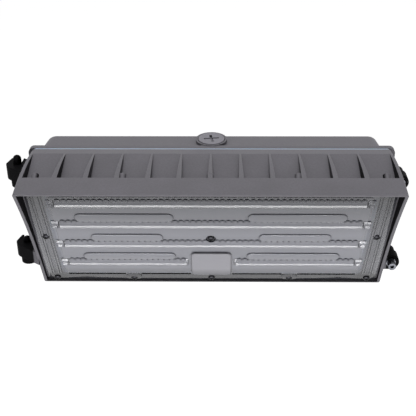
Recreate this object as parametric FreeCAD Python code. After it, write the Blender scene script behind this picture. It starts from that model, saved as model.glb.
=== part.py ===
import FreeCAD, Part
import math
import os

# ---------------------------------------------------------------------------
# Wall pack light: a shallow cast back box on the wall, and a cast door with the
# LED board, the driver and a clear lens, hung on two posts at the left and held
# shut by two captive screws at the right.
#
# Millimetres.  +X is to the viewer's right, +Y runs into the wall, +Z is up.
# The wall is the plane Y = 0, and the origin is in the middle of the wire entry.
# ---------------------------------------------------------------------------

V = FreeCAD.Vector

# --- door casting: outer shape
DOOR_WIDTH = 355.0          # side wall to side wall
DOOR_DEPTH = 96.0           # visor tip to the gasket plane
DOOR_TOP = 76.0             # height of the visor tip above the origin
DOOR_BOTTOM = -77.0
DOOR_REAR_TOP = 74.8        # height of the top's rear edge
TOP_CROWN = 79.6            # height of the top halfway back
STRIP_DEPTH = 27.6          # plain strip of the top, from the tip to the pockets
BOTTOM_LAND = 11.7          # depth of the flat bottom wall, front to rear
FRONT_SAG = 4.4             # how far the side walls' front edges curve inwards
TIP_RADIUS = 0.8
REAR_CORNER_RADIUS = 3.5
FRONT_CORNER_RADIUS = 1.6
BOTTOM_CORNER_RADIUS = 4.0

# --- door casting: walls
VISOR_WALL = 2.2
SIDE_WALL = 3.0             # beside the lens
CAVITY_SIDE_WALL = 6.5      # behind the lens, where the gasket presses
CAVITY_RIM = 6.4            # top and bottom rim at the gasket plane
PLATE_WALL = 5.0            # behind the board recess
FLOOR_WALL = 3.2            # under the pockets between the ribs

# --- the sloping lens and board stack, measured along and into the slope
LENS_TILT = 25.0            # from vertical, facing forwards and down
ROW_ONE_Y = 24.1            # first LED row behind the visor tip
ROW_ONE_DROP = 23.9         # first LED row below the visor tip
LENS_TOP = -21.0            # lens edges along the slope, from the first LED row
LENS_BOTTOM = 138.6
LENS_SIDE_GAP = 2.2         # lens edge to the side wall
LENS_END_GAP = 1.0          # lens edge to the bottom wall
LENS_THICKNESS = 3.0
LENS_FACE_DEPTH = 2.0       # flat lens face below the optical reference plane
LENS_CORNER_RADIUS = 4.0

# --- optics
LED_ROWS = 4
LED_ROW_PITCH = 34.3
LED_PITCH = 5.7
LED_ROW_HALF = 142.5        # outermost LED centre
LED_GAP_HALF = 31.35        # innermost LED centre of the split bottom row
LED_LENGTH = 3.5
LED_WIDTH = 2.8
LED_HEIGHT = 0.7
BAR_WIDTH = 12.0            # raised optic over each row
BAR_HEIGHT = 3.2
BAR_OVERHANG = 2.6          # past the outermost LED
BAR_FOOT_WIDTH = 1.6        # how much wider the foot is than the crown, each side
BAR_HOLLOW_WIDTH = 6.0
BAR_HOLLOW_DEPTH = 2.4
END_BLOCK_LENGTH = 5.0
END_BLOCK_WIDTH = 8.0
END_BLOCK_HEIGHT = 2.2
END_BLOCK_REACH = 153.4     # outer end of each row
SPLIT_BLOCK_REACH = 24.0    # inner end of the split row
PAD_HEIGHT = 1.6
PAD_WIDTHS = (12.5, 11.4, 11.4)
PAD_INNER = (35.5, 47.3, 36.0)
PAD_OUTER = (130.0, 118.0, 129.6)
WINDOW_HALF = 20.4          # frosted box over the wire connector
WINDOW_TOP = 82.8
WINDOW_BOTTOM = 124.6
WINDOW_HEIGHT = 4.0
WINDOW_WALL = 2.0
WINDOW_CORNER_RADIUS = 4.5

# --- lens gasket and board
GASKET_GROOVE_WIDTH = 4.4
GASKET_GROOVE_DEPTH = 2.0
GASKET_SIDE_PLAY = 0.2
GASKET_END_PLAY = 0.05
BOARD_HALF = 149.5
BOARD_TOP = -6.4
BOARD_BOTTOM = 121.0
BOARD_THICKNESS = 1.6
BOARD_PLAY = 1.0            # board edge to the recess wall
RECESS_DEPTH = 2.4          # board recess below the lens seat
GROOVE_BANK = 1.5           # wall between the recess and the gasket groove

# --- lens screws, M4 pan head
LENS_SCREW_PITCH = 81.5
LENS_SCREW_COUNT = 5
LENS_SCREW_BOTTOM = 135.0
LENS_SCREW_TOP = -17.0
LENS_SCREW_SIDE_X = 162.7
LENS_SCREW_SIDE = 56.6
LENS_SCREW_MIDDLE = 59.0
LENS_SCREW_RADIUS = 2.0
LENS_SCREW_HEAD_RADIUS = 3.4
LENS_SCREW_HEAD = 2.3
LENS_SCREW_REACH = 8.6      # below the lens seat
LENS_HOLE_RADIUS = 2.25
TAP_PLAY = 0.05             # screw shank to its tapped hole, radially
SCREW_BOSS_RADIUS = 3.4
SCREW_BOSS_HEIGHT = 10.0    # behind the plate, into the pockets
MIDDLE_BOSS_RADIUS = 4.7    # through the board, up to the lens
MIDDLE_BOSS_PLAY = 0.5

# --- ribs on top
RIB_INNER_COUNT = 11
RIB_FRONT_PITCH = 28.75     # the ribs fan out a little towards the visor
RIB_REAR_PITCH = 28.4
RIB_FRONT_WIDTH = 4.5
RIB_REAR_WIDTH = 1.5
RIB_SIDE_WIDTH = 4.2
RIB_REAR_Y = 15.0           # rear tips in front of the gasket plane
POCKET_SLOPE = 13.2         # degrees, falling towards the visor

# --- hinge: posts on the back box, open hooks on the door
HINGE_OFFSET = 14.5         # axis outside the door's side wall
HINGE_SETBACK = 6.0         # axis in front of the gasket plane
HINGE_TOPS = (62.0, -28.5)  # top faces of the two hooks
HOOK_HEIGHT = 14.3
HOOK_RADIUS = 11.3
HOOK_ARM_SLOPE = 35.5       # degrees, of the arm's front face in plan
HOOK_REAR = 11.6            # tips of the hook's horns behind the axis
HOOK_HORN_OUTER = 7.8       # left horn, outside and inside of its tip
HOOK_HORN_INNER = 5.9
HOOK_LIP_INNER = 4.3        # right lip, inside and outside of its tip
HOOK_LIP_OUTER = 5.4
HOOK_MOUTH_HALF = 3.6
POST_RADIUS = 4.1
POST_RISES = (9.1, 5.8)     # dome tops above the hooks: the upper post is longer
POST_PLAY = 0.1             # running clearance, radial
POST_SHANK_RADIUS = 3.0
POST_SHANK = 7.0
BOSS_RADIUS = 8.2
BOSS_HEIGHT = 9.2
HOOK_GAP = 0.3              # hook above its boss
FLANGE_RELIEF_RADIUS = 14.4     # lets the horn swing past the flange

# --- captive screws, M5 socket head, and their ears
DOOR_EAR_RADIUS = 8.7
BOX_EAR_RADIUS = 7.0
EAR_OFFSET = 9.5            # screw axis outside the door's side wall
EAR_HEIGHTS = (44.0, -50.0)
DOOR_EAR = 12.0
BOX_EAR = 8.5
LATCH_RADIUS = 2.5
LATCH_PLAY = 0.3
LATCH_HEAD_RADIUS = 4.25
LATCH_HEAD = 5.0
LATCH_COLLAR_RADIUS = 4.0
LATCH_COLLAR = 3.0
LATCH_FLANGE_RADIUS = 5.0
LATCH_FLANGE = 1.0
LATCH_SOCKET_ACROSS = 4.0
LATCH_SOCKET_DEPTH = 2.5
LATCH_ENGAGED = 7.0         # thread in the box ear
LATCH_TRAVEL = 8.0          # screw backed fully out
RETAINER_RADIUS = 4.6
RETAINER_WIDTH = 1.0
RETAINER_BORE_PLAY = 0.3
RETAINER_INSET = 0.2        # behind the door's rear face, screw tight
RETAINER_END_PLAY = 0.4     # left in its pocket, screw fully out

# --- back box
BOX_DEPTH = 37.5
DOOR_GAP = 2.5              # compressed gasket between the castings
FLANGE_HALF = 182.0
FLANGE_TOP = 74.8
FLANGE_BOTTOM = -77.5
FLANGE_THICKNESS = 6.0
FLANGE_RADIUS = 5.5
BOX_FRONT_HALF = 173.5      # body just behind the flange
BOX_FRONT_TOP = 73.6
BOX_REAR_HALF = 171.0       # body at the wall
BOX_REAR_TOP = 70.0
BOX_FRONT_BOTTOM = -74.6
BOX_REAR_BOTTOM = -71.0
BOX_RADIUS = 11.0
BOX_WALL = 3.0
BOX_BACK = 3.5
DOOR_GASKET_WIDTH = 5.0
DOOR_GASKET_INSET = 0.4     # behind the door's outer edge

# --- conduit plug in the top
PLUG_Y = -17.5
PLUG_BOSS_RADIUS = 15.7
PLUG_BOSS_TOP = 75.5
PLUG_BOSS_LENGTH = 12.0
PLUG_HEAD_RADIUS = 13.3
PLUG_HEAD = 2.4
PLUG_HEAD_PROUD = 0.6
PLUG_HEAD_PLAY = 0.5
PLUG_THREAD_RADIUS = 10.5
PLUG_THREAD = 8.0
PLUG_SLOT_WIDTH = 2.6
PLUG_SLOT_LENGTH = 15.4
PLUG_SLOT_DEPTH = 2.0
PLUG_SLOT_TURN = 8.0        # degrees

# --- wall side
ENTRY_RADIUS = 11.1
ENTRY_GROMMET_BORE = 6.0
ENTRY_GROMMET_LIP = 2.0
ENTRY_GROMMET_LIP_WIDTH = 3.0
ENTRY_PLAY = 0.1
BOX_SLOT_SPACING = 88.9
BOX_SLOT_WIDTH = 5.0
BOX_SLOT_LENGTH = 14.0
LAG_SPACING_X = 280.0
LAG_SPACING_Z = 100.0
LAG_RADIUS = 3.4
WALL_GASKET_WIDTH = 6.0
WALL_GASKET_THICKNESS = 2.0
WALL_GASKET_INSET = 5.0
GROUND_SCREW_X = 60.0
GROUND_SCREW_Z = -30.0
GROUND_BOSS_RADIUS = 6.0
GROUND_BOSS = 5.0           # in front of the box's rear wall
GROUND_SCREW_RADIUS = 2.0
GROUND_SCREW_REACH = 5.5
GROUND_HEAD_RADIUS = 4.2    # over the corners of the hexagon
GROUND_HEAD = 2.6
GROUND_WASHER_RADIUS = 5.0
GROUND_WASHER = 0.8

# --- driver and wiring behind the plate
DRIVER_LEFT = -86.0
DRIVER_LENGTH = 150.0
DRIVER_TOP = 3.0            # along the slope
DRIVER_WIDTH = 48.0
DRIVER_HEIGHT = 29.0
DRIVER_PAD = 2.0
DRIVER_PAD_SIZE = 14.0
DRIVER_TAB = 10.0
DRIVER_TAB_WIDTH = 12.0
DRIVER_TAB_THICKNESS = 2.0
DRIVER_TAB_INSET = 9.0
DRIVER_CAP = 4.0
DRIVER_CAP_INSET = 3.0
DRIVER_EDGE_RADIUS = 3.0
LEAD_RADIUS = 1.3
LEAD_SPACING = 5.0
LEAD_BORE_PLAY = 0.1
LEAD_EXIT_HEIGHT = 11.0     # leads above the plate's rear where they leave the driver
LEAD_RUN_HEIGHT = 9.5       # and where they run along the plate
LEAD_BEND = 13.0            # largest bend radius
LEAD_LOOP = 30.0            # how far the output leads go beyond the driver
CONNECTOR_SLOPE = 106.0     # middle of the board's wire connector
CONNECTOR_LEFT = -12.0
CONNECTOR_LENGTH = 14.0
CONNECTOR_WIDTH = 13.0
CONNECTOR_HEIGHT = 4.6
CONNECTOR_MOUTH = 6.0
LEAD_HOLE_X = 10.5
LEAD_HOLE_RADIUS = 5.0
LEAD_HOLE_BOARD_RADIUS = 6.5
GROMMET_RECESS = 2.4        # front face behind the plate's, where the leads bend
GROMMET_LIP = 1.2
GROMMET_LIP_WIDTH = 1.8
CLIP_X = 46.0
CLIP_LENGTH = 8.0
CLIP_WIDTH = 13.0
CLIP_ABOVE = 1.8            # clip above the leads
NUT_RADIUS = 5.5
NUT_TIP_SHARE = 0.62        # tip radius as a share of the mouth radius
NUT_LENGTH = 22.0
NUT_SLOPE = 64.0
NUT_LEFT = -134.0
NUT_PITCH = 14.0
NUT_CLEAR = 1.0
NUT_CLIP_LENGTH = 8.0
NUT_CLIP_WALL = 2.6

# --- small shared sizes
BOARD_SCREW_RADIUS = 1.5
BOARD_SCREW_HEAD_RADIUS = 2.7
BOARD_SCREW_HEAD = 1.6
BOARD_SCREW_REACH = 4.0
SCREW_HOLE_PLAY = 0.2       # clearance hole of a small screw, radially
BOARD_SCREW_X = (60.0, 140.0)
BOARD_SCREW_ROW_GAPS = (0.5, 2.5)   # in row pitches
CUTTER_REACH = 400.0        # longer than anything it has to cut through
ABOVE_TOP = 12.0            # how far the cutters of the crowned top rise past it
POCKET_RUN_OUT = 4.0        # how far the pocket cutters run past the ribs' rear tips
PLUG_BORE_BELOW = 5.0       # how far the plug's bore is cut below its boss
TAP_SPARE = 0.4             # tapped hole past the screw's end
FLANGE_OVERLAP = 0.5        # how deep the flange and the box's walls share metal
BEND_SHARE = 0.45           # most of a lead's run that one bend may take

# --- shares and radii of small forms
HOOK_LIP_SLANT = 1.2
HOOK_NECK_SHARE = 0.8       # of the post radius, where the hook's mouth starts to flare
GROOVE_OUTER_RADIUS = 4.0
GROOVE_INNER_RADIUS = 1.5
OPTIC_ROOT = 0.5            # how deep raised forms of the lens reach into its plate
BAR_CROWN_SLANT = 1.4
BAR_END_WALL = 1.2
SPLIT_BLOCK_SHARE = 0.8     # inner end blocks against the outer ones
PAD_ROW_SHARE = 0.62        # pads lie this far from one row to the next, plus the shift
PAD_SHIFT = 1.2
PAD_END_FLAT = 0.5
BOARD_HEAD_PLAY = 0.5       # lens relief round a board screw's head
BOARD_CORNER_RADIUS = 2.0
HEAD_DOME_SHARE = 1.6       # dome and cross recess of a pan head, as shares of it
CROSS_ARM_SHARE = 0.62
CROSS_WIDTH_SHARE = 0.16
CROSS_DEPTH_SHARE = 0.6
SLOT_LENGTH_SHARE = 0.65
SLOT_FLOOR_SHARE = 0.4
SLOT_HALF = 0.4
CAP_HEAD_GAP = 1.0          # driver end cap above the screw heads
CAP_REAR_INSET = 2.0
CAP_CORNER_RADIUS = 1.5
NUT_CLIP_SHARE = 0.7        # of the nut pitch, past the outer nuts' centres
NUT_CLIP_PLAY = 0.6
BOSS_ARM_ROOT = 4.0         # how far the hinge boss's arm reaches onto the flange
BOSS_ARM_LEAN = 3.0
WALL_GASKET_OUTER_STEP = 2.0    # gasket corner radii below the box's own
WALL_GASKET_INNER_STEP = 5.0
WALL_GASKET_PLAY = 0.05
PLUG_RIM_RADIUS = 0.6
LATCH_RIM_RADIUS = 0.5

# --- places worked out from the sizes above
HALF = DOOR_WIDTH / 2
GASKET_Y = -BOX_DEPTH
DOOR_REAR_Y = GASKET_Y - DOOR_GAP
TIP_Y = DOOR_REAR_Y - DOOR_DEPTH
HINGE_X = -HALF - HINGE_OFFSET
HINGE_Y = DOOR_REAR_Y - HINGE_SETBACK
EAR_X = HALF + EAR_OFFSET
SLOPE = math.radians(LENS_TILT)
STACK_ORIGIN = V(0, TIP_Y + ROW_ONE_Y, DOOR_TOP - ROW_ONE_DROP)
STACK = FreeCAD.Placement(STACK_ORIGIN, FreeCAD.Rotation(V(1, 0, 0), LENS_TILT - 90))
LENS_HALF = HALF - SIDE_WALL - LENS_SIDE_GAP
SEAT = LENS_FACE_DEPTH + LENS_THICKNESS
PLATE_FRONT = SEAT + RECESS_DEPTH
PLATE_REAR = PLATE_FRONT + PLATE_WALL
BOARD_FRONT = PLATE_FRONT - BOARD_THICKNESS
LENS_SCREW_XS = [(i - (LENS_SCREW_COUNT - 1) / 2) * LENS_SCREW_PITCH for i in range(LENS_SCREW_COUNT)]
SIDE_SCREWS = [(-LENS_SCREW_SIDE_X, LENS_SCREW_SIDE), (LENS_SCREW_SIDE_X, LENS_SCREW_SIDE)]
TOP_SCREWS = [(x, LENS_SCREW_TOP) for x in LENS_SCREW_XS]
BOTTOM_SCREWS = [(x, LENS_SCREW_BOTTOM) for x in LENS_SCREW_XS]
MIDDLE_SCREW = (0.0, LENS_SCREW_MIDDLE)
ROWS = [i * LED_ROW_PITCH for i in range(LED_ROWS)]


# ---------------------------------------------------------------------------
# helpers
# ---------------------------------------------------------------------------

def block(x0, x1, y0, y1, z0, z1):
    """A box between two corners."""
    return Part.makeBox(x1 - x0, y1 - y0, z1 - z0, V(x0, y0, z0))


def rod(radius, start, axis, length):
    """A round bar from start along axis."""
    return Part.makeCylinder(radius, length, start, axis)


def prism(points, direction):
    """A closed polygon swept along a direction."""
    return Part.Face(Part.makePolygon(points + [points[0]])).extrude(direction)


def side_prism(profile, half):
    """A (y, z) polygon swept from -half to half along X."""
    return prism([V(-half, y, z) for y, z in profile], V(2 * half, 0, 0))


def plan_prism(outline, z0, z1):
    """An (x, y) polygon swept from z0 to z1."""
    return prism([V(x, y, z0) for x, y in outline], V(0, 0, z1 - z0))


def fuse(shapes):
    """One solid from several that touch or overlap."""
    return shapes[0].multiFuse(shapes[1:]).removeSplitter() if len(shapes) > 1 else shapes[0]


def cut(shape, tools):
    """A shape less each of the tools."""
    return shape.cut(tools).removeSplitter()


def stacked(shape):
    """A shape drawn as (across, down the slope, into the door), put in its place."""
    shape.Placement = STACK.multiply(shape.Placement)
    return shape


def stack_point(x, along, depth):
    """A point of the sloping stack in the light's own frame."""
    return STACK.multVec(V(x, along, depth))


def rounded_wire(half, low, high, radius, y):
    """A rounded rectangle in the plane of one Y, from its bottom and top heights."""
    r = min(radius, half * 0.9, (high - low) * 0.45)
    k = r * (1 - math.sqrt(0.5))
    corners = [
        (V(half, y, high - r), V(half - k, y, high - k), V(half - r, y, high)),
        (V(-half + r, y, high), V(-half + k, y, high - k), V(-half, y, high - r)),
        (V(-half, y, low + r), V(-half + k, y, low + k), V(-half + r, y, low)),
        (V(half - r, y, low), V(half - k, y, low + k), V(half, y, low + r)),
    ]
    edges = []
    for i, (start, middle, end) in enumerate(corners):
        edges.append(Part.Arc(start, middle, end).toShape())
        edges.append(Part.LineSegment(end, corners[(i + 1) % 4][0]).toShape())
    return Part.Wire(edges)


def rounded_slab(half, low, high, radius, y0, y1):
    """A rounded rectangle in XZ, from y0 to y1."""
    return Part.Face(rounded_wire(half, low, high, radius, y0)).extrude(V(0, y1 - y0, 0))


def rounded_plate(x0, x1, a0, a1, d0, d1, radius):
    """A plate of the sloping stack with rounded corners, in stack coordinates."""
    plate = block(x0, x1, a0, a1, d0, d1)
    upright = [e for e in plate.Edges if abs(e.tangentAt(e.FirstParameter).z) > 0.9]
    return plate.makeFillet(radius, upright)


# ---------------------------------------------------------------------------
# door casting
# ---------------------------------------------------------------------------

def top_points(drop):
    """Tip, middle and rear of the crowned top, or of the line a set drop below it."""
    return [
        V(-HALF, TIP_Y, DOOR_TOP - drop),
        V(-HALF, (TIP_Y + DOOR_REAR_Y) / 2, TOP_CROWN - drop),
        V(-HALF, DOOR_REAR_Y, DOOR_REAR_TOP - drop),
    ]


def top_arc(drop):
    """The crowned top of the door, or the surface that lies a set drop below it."""
    return Part.Arc(*top_points(drop))


def front_arc():
    """The hollow curve of the side walls' front edges, from the bottom to the tip."""
    foot = V(-HALF, DOOR_REAR_Y - BOTTOM_LAND, DOOR_BOTTOM)
    tip = V(-HALF, TIP_Y, DOOR_TOP)
    chord = tip - foot
    inward = V(0, chord.z, -chord.y).normalize()
    return Part.Arc(foot, (foot + tip) * 0.5 + inward * FRONT_SAG, tip)


def door_block():
    """The door's outer shape, with its edges rounded."""
    tip = V(-HALF, TIP_Y, DOOR_TOP)
    rear_top = V(-HALF, DOOR_REAR_Y, DOOR_REAR_TOP)
    rear_bottom = V(-HALF, DOOR_REAR_Y, DOOR_BOTTOM)
    foot = V(-HALF, DOOR_REAR_Y - BOTTOM_LAND, DOOR_BOTTOM)
    outline = Part.Wire([
        top_arc(0).toShape(),
        Part.LineSegment(rear_top, rear_bottom).toShape(),
        Part.LineSegment(rear_bottom, foot).toShape(),
        front_arc().toShape(),
    ])
    body = Part.Face(outline).extrude(V(DOOR_WIDTH, 0, 0))
    tip_edge = [e for e in body.Edges
                if all((v.Point - V(v.Point.x, tip.y, tip.z)).Length < 0.01 for v in e.Vertexes)]
    body = body.makeFillet(TIP_RADIUS, tip_edge)
    low_edges = [e for e in body.Edges
                 if all(abs(v.Point.z - DOOR_BOTTOM) < 0.01 and abs(abs(v.Point.x) - HALF) < 0.01
                        for v in e.Vertexes)]
    body = body.makeFillet(BOTTOM_CORNER_RADIUS, low_edges)
    return body


def rear_corner_cuts():
    """Rounds the top corners, tightly at the visor and more at the rear."""
    tools = []
    for side in (-1, 1):
        outer = side * (HALF + 1)
        wires = []
        for y, z, r in ((TIP_Y - 1, DOOR_TOP, FRONT_CORNER_RADIUS),
                        ((TIP_Y + DOOR_REAR_Y) / 2, TOP_CROWN,
                         (FRONT_CORNER_RADIUS + REAR_CORNER_RADIUS) / 2),
                        (DOOR_REAR_Y + 1, DOOR_REAR_TOP, REAR_CORNER_RADIUS)):
            edge_x = side * HALF
            start = V(edge_x, y, z - r)
            end = V(edge_x - side * r, y, z)
            k = r * (1 - math.sqrt(0.5))
            arc = Part.Arc(start, V(edge_x - side * k, y, z - k), end).toShape()
            high = V(edge_x - side * r, y, z + ABOVE_TOP)
            far = V(outer, y, z + ABOVE_TOP)
            low = V(outer, y, z - r)
            wires.append(Part.Wire([
                arc,
                Part.LineSegment(end, high).toShape(),
                Part.LineSegment(high, far).toShape(),
                Part.LineSegment(far, low).toShape(),
                Part.LineSegment(low, start).toShape(),
            ]))
        tools.append(Part.makeLoft(wires, True, False))
    return tools


def visor_recess():
    """The space in front of the lens, under the visor."""
    ahead = stacked(block(-HALF + SIDE_WALL, HALF - SIDE_WALL,
                          -CUTTER_REACH, LENS_BOTTOM + LENS_END_GAP, -CUTTER_REACH, SEAT))
    under = top_arc(VISOR_WALL)
    start, end = under.StartPoint, under.EndPoint
    front = V(-HALF, TIP_Y - CUTTER_REACH, start.z)
    deep_front = V(-HALF, TIP_Y - CUTTER_REACH, -CUTTER_REACH)
    deep_rear = V(-HALF, DOOR_REAR_Y, -CUTTER_REACH)
    region = Part.Face(Part.Wire([
        Part.LineSegment(front, start).toShape(),
        under.toShape(),
        Part.LineSegment(end, deep_rear).toShape(),
        Part.LineSegment(deep_rear, deep_front).toShape(),
        Part.LineSegment(deep_front, front).toShape(),
    ])).extrude(V(DOOR_WIDTH, 0, 0))
    return ahead.common(region)


def slope_y(depth, z):
    """Y, at a height, of the plane that lies a set depth into the sloping stack."""
    along = (STACK_ORIGIN.z + depth * math.sin(SLOPE) - z) / math.cos(SLOPE)
    return stack_point(0, along, depth).y


def top_height(y):
    """Height of the crowned top at one Y."""
    circle = Part.Circle(*top_points(0))
    side = math.copysign(1, TOP_CROWN - circle.Center.z)
    return circle.Center.z + side * math.sqrt(circle.Radius ** 2 - (y - circle.Center.y) ** 2)


def strip_depth():
    """Depth, into the stack, of the pockets' front wall."""
    y = TIP_Y + STRIP_DEPTH
    return (y - STACK_ORIGIN.y) * math.cos(SLOPE) + (top_height(y) - STACK_ORIGIN.z) * math.sin(SLOPE)


def pocket_floor(y):
    """Height of the pockets' floor, which meets the top at the ribs' rear tips."""
    tip_y = DOOR_REAR_Y - RIB_REAR_Y
    return top_height(tip_y) - (tip_y - y) * math.tan(math.radians(POCKET_SLOPE))


def floor_meets(depth, below):
    """Where a line under the pockets' floor meets a plane of the sloping stack."""
    y = TIP_Y
    for _ in range(40):
        y = slope_y(depth, pocket_floor(y) - below)
    return y, pocket_floor(y) - below


def pocket_tools():
    """The pockets between the ribs, as one V-shaped section in tapered plan strips."""
    above = max(TOP_CROWN, DOOR_TOP) + ABOVE_TOP
    depth = strip_depth()
    bottom_y, bottom_z = floor_meets(depth, 0)
    front_y = slope_y(depth, above)
    rear_y = DOOR_REAR_Y - RIB_REAR_Y
    section = side_prism([
        (front_y, above),
        (bottom_y, bottom_z),
        (DOOR_REAR_Y, pocket_floor(DOOR_REAR_Y)),
        (DOOR_REAR_Y, above),
    ], HALF)
    spans = [i - (RIB_INNER_COUNT - 1) / 2 for i in range(RIB_INNER_COUNT)]
    side = HALF - RIB_SIDE_WIDTH
    below = bottom_z - FLOOR_WALL
    tools = []
    for i in range(RIB_INNER_COUNT + 1):
        left_front = left_rear = -side
        right_front = right_rear = side
        if i > 0:
            left_front = spans[i - 1] * RIB_FRONT_PITCH + RIB_FRONT_WIDTH / 2
            left_rear = spans[i - 1] * RIB_REAR_PITCH + RIB_REAR_WIDTH / 2
        if i < RIB_INNER_COUNT:
            right_front = spans[i] * RIB_FRONT_PITCH - RIB_FRONT_WIDTH / 2
            right_rear = spans[i] * RIB_REAR_PITCH - RIB_REAR_WIDTH / 2
        strip = plan_prism([
            (left_front, bottom_y),
            (right_front, bottom_y),
            (right_rear, rear_y + POCKET_RUN_OUT),
            (left_rear, rear_y + POCKET_RUN_OUT),
        ], below, above)
        ahead = block(left_front, right_front, front_y - 1, bottom_y, below, above)
        tools.append(section.common(fuse([strip, ahead])))
    return tools


def rear_cavity():
    """The space behind the plate, open to the back box."""
    under_y, under_z = floor_meets(PLATE_REAR, FLOOR_WALL)
    low = DOOR_BOTTOM + CAVITY_RIM
    top = min(DOOR_REAR_TOP - CAVITY_RIM, pocket_floor(DOOR_REAR_Y - RIB_REAR_Y) - FLOOR_WALL)
    slope = math.tan(math.radians(POCKET_SLOPE))
    knee_y = under_y + (top - under_z) / slope
    section = [
        (DOOR_REAR_Y + 1, top),
        (knee_y, top),
        (under_y, under_z),
        (slope_y(PLATE_REAR, low), low),
        (DOOR_REAR_Y + 1, low),
    ]
    return side_prism(section, HALF - CAVITY_SIDE_WALL)


def hook_outline():
    """The hook's plan about the hinge axis: arm, knuckle, horn and lip."""
    slope = math.radians(HOOK_ARM_SLOPE)
    touch = V(-HOOK_RADIUS * math.sin(slope), -HOOK_RADIUS * math.cos(slope), 0)
    inside = HINGE_OFFSET + 1
    foot = V(inside, touch.y - (inside - touch.x) * math.tan(slope), 0)
    left = V(-HOOK_RADIUS, 0, 0)
    horn = V(-HOOK_HORN_OUTER, HOOK_REAR, 0)
    lip = V(HOOK_LIP_OUTER, HOOK_REAR - HOOK_LIP_SLANT, 0)
    corners = [horn, V(HOOK_LIP_INNER, HOOK_REAR, 0), lip, V(inside, HINGE_SETBACK - 1, 0), foot]
    half_way = (slope + math.pi / 2) / 2
    middle = V(-HOOK_RADIUS * math.sin(half_way), -HOOK_RADIUS * math.cos(half_way), 0)
    edges = [Part.LineSegment(foot, touch).toShape(), Part.Arc(touch, middle, left).toShape()]
    here = left
    for corner in corners:
        edges.append(Part.LineSegment(here, corner).toShape())
        here = corner
    return Part.Wire(edges)


def hook_mouth(height):
    """The flared opening at the rear of the hook."""
    neck = POST_RADIUS * HOOK_NECK_SHARE
    past = HOOK_REAR + 1
    return plan_prism([
        (-HOOK_MOUTH_HALF, 0),
        (HOOK_MOUTH_HALF, 0),
        (HOOK_MOUTH_HALF, neck),
        (HOOK_LIP_INNER, past),
        (-HOOK_HORN_INNER, past),
        (-HOOK_MOUTH_HALF, neck),
    ], -1, height + 1)


def door_hook(top):
    """One open hook on the door's left wall, round its post."""
    hook = Part.Face(hook_outline()).extrude(V(0, 0, HOOK_HEIGHT))
    bore = rod(POST_RADIUS + POST_PLAY, V(0, 0, -1), V(0, 0, 1), HOOK_HEIGHT + 2)
    hook = cut(hook, [bore, hook_mouth(HOOK_HEIGHT)])
    hook.translate(V(HINGE_X, HINGE_Y, top - HOOK_HEIGHT))
    return hook


def ear(z, y0, length, radius):
    """A round-ended ear for a captive screw, from inside the wall outwards."""
    start = V(EAR_X, y0, z)
    web = block(HALF - CAVITY_SIDE_WALL / 2, EAR_X, y0, y0 + length, z - radius, z + radius)
    return fuse([rod(radius, start, V(0, 1, 0), length), web])


def door_ear_tools(z):
    """The screw hole in a door ear and the pocket of its retaining washer."""
    front = DOOR_REAR_Y - DOOR_EAR
    hole = rod(LATCH_RADIUS + LATCH_PLAY, V(EAR_X, front - 1, z), V(0, 1, 0), DOOR_EAR + 2)
    depth = RETAINER_INSET + RETAINER_WIDTH + LATCH_TRAVEL + RETAINER_END_PLAY
    pocket = rod(RETAINER_RADIUS + RETAINER_BORE_PLAY, V(EAR_X, DOOR_REAR_Y + 1, z),
                 V(0, -1, 0), depth + 1)
    return [hole, pocket]


def door_housing():
    """The cast door with everything that is one piece with it."""
    body = cut(door_block(), rear_corner_cuts())
    body = body.cut([visor_recess(), rear_cavity()])
    body = cut(body, pocket_tools())
    additions = []
    for x, along in TOP_SCREWS:
        boss = rod(SCREW_BOSS_RADIUS, V(x, along, PLATE_REAR - 1), V(0, 0, 1), SCREW_BOSS_HEIGHT + 1)
        additions.append(stacked(boss))
    for x, along in SIDE_SCREWS + [MIDDLE_SCREW]:
        boss = rod(SCREW_BOSS_RADIUS, V(x, along, PLATE_REAR - 1), V(0, 0, 1), DRIVER_PAD)
        additions.append(stacked(boss))
    for x, along in driver_screw_places():
        half = DRIVER_PAD_SIZE / 2
        pad = block(x - half, x + half, along - half, along + half, PLATE_REAR - 1, PLATE_REAR + DRIVER_PAD)
        additions.append(stacked(pad))
    for top in HINGE_TOPS:
        additions.append(door_hook(top))
    for z in EAR_HEIGHTS:
        additions.append(ear(z, DOOR_REAR_Y - DOOR_EAR, DOOR_EAR, DOOR_EAR_RADIUS))
    body = fuse([body] + additions)
    recess = board_recess().cut(middle_boss())
    tools = [lens_gasket_ring(0, 0), recess]
    for x, along in TOP_SCREWS + BOTTOM_SCREWS + SIDE_SCREWS + [MIDDLE_SCREW]:
        hole = rod(LENS_SCREW_RADIUS + TAP_PLAY, V(x, along, SEAT - 1), V(0, 0, 1),
                   LENS_SCREW_REACH + TAP_SPARE + 1)
        tools.append(stacked(hole))
    for x, along in board_screw_places():
        hole = rod(BOARD_SCREW_RADIUS + TAP_PLAY, V(x, along, PLATE_FRONT - 1), V(0, 0, 1),
                   BOARD_SCREW_REACH + TAP_SPARE + 1)
        tools.append(stacked(hole))
    for x, along in driver_screw_places():
        hole = rod(BOARD_SCREW_RADIUS + TAP_PLAY, V(x, along, PLATE_REAR + DRIVER_PAD + 1),
                   V(0, 0, -1), BOARD_SCREW_REACH + TAP_SPARE + 1)
        tools.append(stacked(hole))
    lead_hole = rod(LEAD_HOLE_RADIUS, V(LEAD_HOLE_X, CONNECTOR_SLOPE, SEAT), V(0, 0, 1), PLATE_REAR)
    tools.append(stacked(lead_hole))
    for z in EAR_HEIGHTS:
        tools += door_ear_tools(z)
    return cut(body, tools)


# ---------------------------------------------------------------------------
# lens, gasket, board
# ---------------------------------------------------------------------------

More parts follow.
